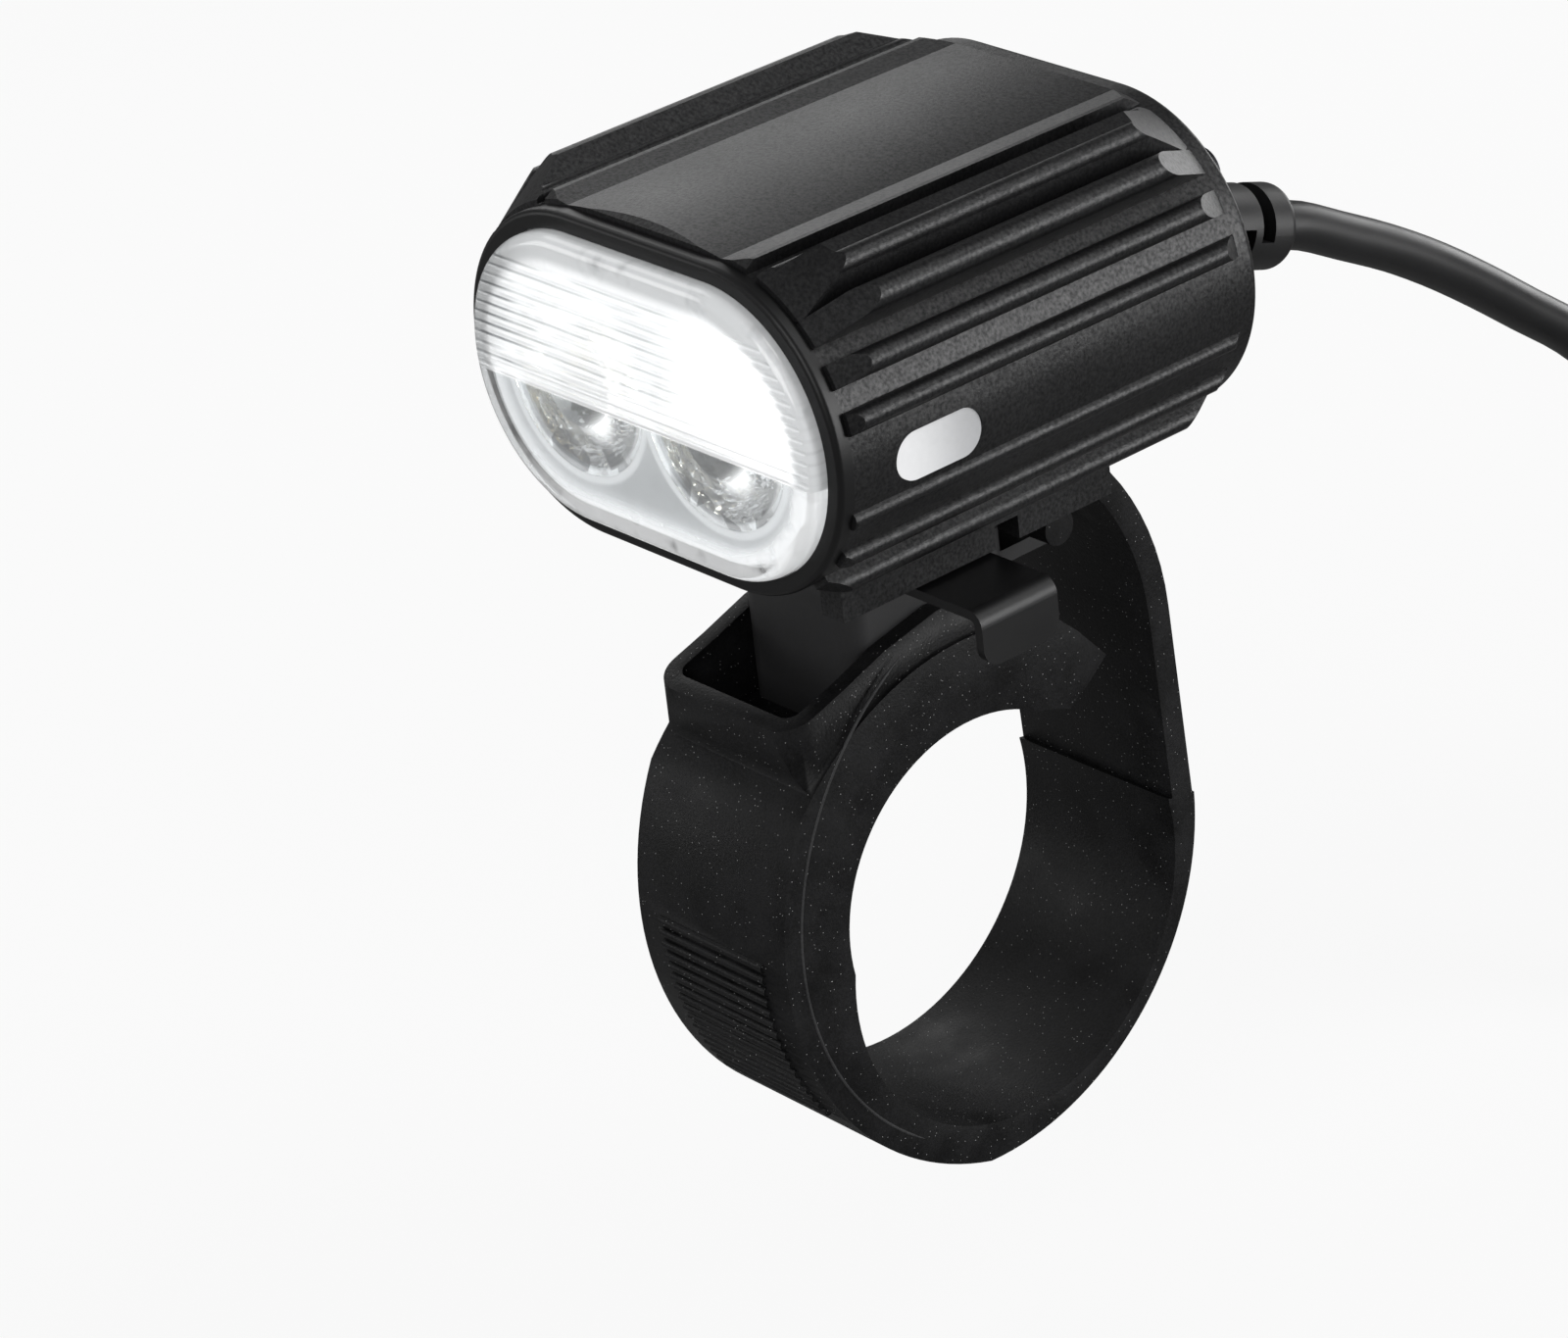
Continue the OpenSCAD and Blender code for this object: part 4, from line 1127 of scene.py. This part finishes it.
@dataclass
class QuickMount(Assembly):
    """The pedestal block, the shoe that the lamp slides on, and the release lever with its spring."""

    outfit: tuple = (
        (BLOCK_NYLON, "base_block", "shoe_plate"),
        (STEEL, "shoe_screws", "lever_pin"),
        (BLACK_STEEL, "release_lever"),
    )
    pivot_x: float = -2.0
    press_deg: float = 8.0
    spring_wire: float = 0.5
    spring_tip: float = 0.01
    spring_turns: int = 5
    per_turn: int = 28
    around: int = 10
    spring_play: float = 0.12

    def coil(self, low: np.ndarray, high: np.ndarray) -> np.ndarray:
        """The spring's surface.

        At turn angle a and wire angle b the point lies at radius R + w cos b about the upright axis, and
        at height h(a) + w sin b, where h rises evenly and the wire narrows to nothing at both ends.

        Args:
            low: The lowest corner of the spring's box, in millimetres.
            high: Its highest corner.

        Returns:
            A grid of points.
        """
        turn = np.linspace(0, 2 * np.pi * self.spring_turns, self.spring_turns * self.per_turn + 1)[:, None]
        wire = np.linspace(0, 2 * np.pi, self.around, endpoint=False)[None, :]
        thick = np.full(turn.shape, self.spring_wire / 2)
        thick[[0, -1]] *= self.spring_tip
        x, y, _ = (low + high) / 2
        radius = (high[0] - low[0] - self.spring_wire) / 2
        rise = low[2] + self.spring_wire / 2 + (high[2] - low[2] - self.spring_wire) * turn / turn[-1]
        reach = radius + thick * np.cos(wire)
        coil = [x + reach * np.cos(turn), y + reach * np.sin(turn), rise + thick * np.sin(wire)]
        return np.stack(coil, axis=-1)

    def spring(self, wardrobe: Wardrobe) -> None:
        """Wind the spring in the CAD spring's box.

        Args:
            wardrobe: Holds the finishes and nodes.
        """
        low, high = (np.array(corner, dtype=float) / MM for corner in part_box("lever_spring"))
        piece = tube_mesh("return_spring", self.coil(low, high))
        wardrobe.settle(piece, STEEL, Body.MOUNT)
        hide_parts("lever_spring")
        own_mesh(piece)

    def build(self, wardrobe: Wardrobe) -> None:
        """Dress the mount's nodes and wind the spring."""
        super().build(wardrobe)
        self.spring(wardrobe)


@dataclass
class RubberStrap(Assembly):
    """The moulded strap: saddle, finger tray, ear, and the tail that hooks on behind."""

    edge_round: float = 0.55
    edge_steps: int = 3
    edge_profile: float = 0.5
    weld: float = 0.002
    flat_deg: float = 0.5
    sharp_deg: float = 42.0
    crease_deg: float = 32.0
    shortest_edge: float = 0.02
    grip_half: float = 7.2
    grip_top: float = 2.5
    grip_front: float = -14.0
    bead_radius: float = 0.16
    bead_inset: float = 2.0
    bead_sunk: float = 0.05
    bead_steps: int = 90
    bead_around: int = 8
    bead_taper: float = 18.0
    bead_tip: float = 0.02
    front_centre: tuple[float, float] = (7.0, 0.4)
    front_radius: float = 30.4
    half_width: float = 10.0
    bead_from: float = 118.0
    bead_to: float = 236.0

    def skin(self, wardrobe: Wardrobe) -> bpy.types.Object:
        """Round the strap's edges as its mould does.

        The solid's loose triangles are joined and merged where they are flat, and every edge that turns
        by more than a set angle, apart from the fine grip ribs, becomes an arc of a few steps.

        Args:
            wardrobe: Holds the CAD nodes.

        Returns:
            The strap.
        """
        work = bmesh.new()
        work.from_mesh(wardrobe.nodes["rubber_strap"].data)
        bmesh.ops.remove_doubles(work, verts=work.verts, dist=self.weld * MM)
        flat = math.radians(self.flat_deg)
        bmesh.ops.dissolve_limit(work, angle_limit=flat, verts=work.verts, edges=work.edges)
        sharp = [edge for edge in work.edges if self.is_moulded_edge(edge)]
        bmesh.ops.bevel(
            work, geom=sharp, offset=self.edge_round * MM, offset_type="OFFSET", segments=self.edge_steps,
            profile=self.edge_profile, affect="EDGES", clamp_overlap=True,
        )
        bmesh.ops.triangulate(work, faces=[face for face in work.faces if len(face.verts) > 4])
        mesh = bpy.data.meshes.new("strap_skin")
        work.to_mesh(mesh)
        work.free()
        mesh.materials.clear()
        mesh.polygons.foreach_set("use_smooth", np.ones(len(mesh.polygons), dtype=bool))
        mesh.set_sharp_from_angle(angle=math.radians(self.crease_deg))
        return link("strap_skin", mesh)

    def is_moulded_edge(self, edge: bmesh.types.BMEdge) -> bool:
        """Tell whether the mould rounds an edge: it is sharp, outward, and not on a grip rib.

        Args:
            edge: The edge.

        Returns:
            Whether it is rounded.
        """
        if len(edge.link_faces) != 2 or edge.calc_length() < self.shortest_edge * MM:
            return False
        middle = (edge.verts[0].co + edge.verts[1].co) / 2 / MM
        on_grip = abs(middle.x) < self.grip_half and middle.z < self.grip_top and middle.y < self.grip_front
        return edge.calc_face_angle() > math.radians(self.sharp_deg) and edge.is_convex and not on_grip

    def bead(self, side: int) -> np.ndarray:
        """The fine parting bead on one flank, on an arc a set inset inside the strap's front round.

        Args:
            side: 1 for +X, -1 for -X.

        Returns:
            A grid of points for a thin tube that narrows to nothing at its ends.
        """
        angle = np.radians(np.linspace(self.bead_from, self.bead_to, self.bead_steps))
        radius = self.front_radius - self.bead_inset
        y, z = self.front_centre
        flank = np.full(len(angle), side * (self.half_width - self.bead_sunk))
        path = np.column_stack([flank, y + radius * np.cos(angle), z + radius * np.sin(angle)])
        ends = np.minimum(np.linspace(0, 1, len(angle)), np.linspace(1, 0, len(angle)))
        thick = self.bead_radius * np.clip(ends * self.bead_taper, self.bead_tip, 1)
        return carried_circle(path, thick, self.bead_around)

    def build(self, wardrobe: Wardrobe) -> None:
        """Make the strap and its parting beads.

        Args:
            wardrobe: Holds the finishes and nodes.
        """
        skin = wardrobe.settle(self.skin(wardrobe), STRAP_RUBBER, Body.MOUNT)
        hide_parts("rubber_strap")
        for side, name in ((1, "strap_bead_right"), (-1, "strap_bead_left")):
            wardrobe.settle(tube_mesh(name, self.bead(side)), BEAD_RUBBER, Body.MOUNT)
        log.info("strap has %d faces", len(skin.data.polygons))


@dataclass
class Headlight:
    """The whole lamp as its sub-assemblies, in the order in which they are made."""

    studio: Studio = field(default_factory=Studio)
    lead: BatteryLead = field(default_factory=BatteryLead)
    assemblies: tuple = field(
        default_factory=lambda: (LampBody(), LightEngine(), Electronics(), QuickMount(), RubberStrap())
    )

    def build(self, frame: dict) -> None:
        """Make the camera and the lead, then the rest.

        Args:
            frame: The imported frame.
        """
        wardrobe = Wardrobe(frame)
        self.studio.camera()
        self.lead.build(wardrobe)
        for assembly in self.assemblies:
            assembly.build(wardrobe)
        self.studio.build()


def main() -> None:
    """Load the frame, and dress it."""
    logging.basicConfig(level=logging.INFO, format="%(name)s: %(message)s")
    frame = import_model()
    Headlight().build(frame)


if __name__ == "__main__":
    main()
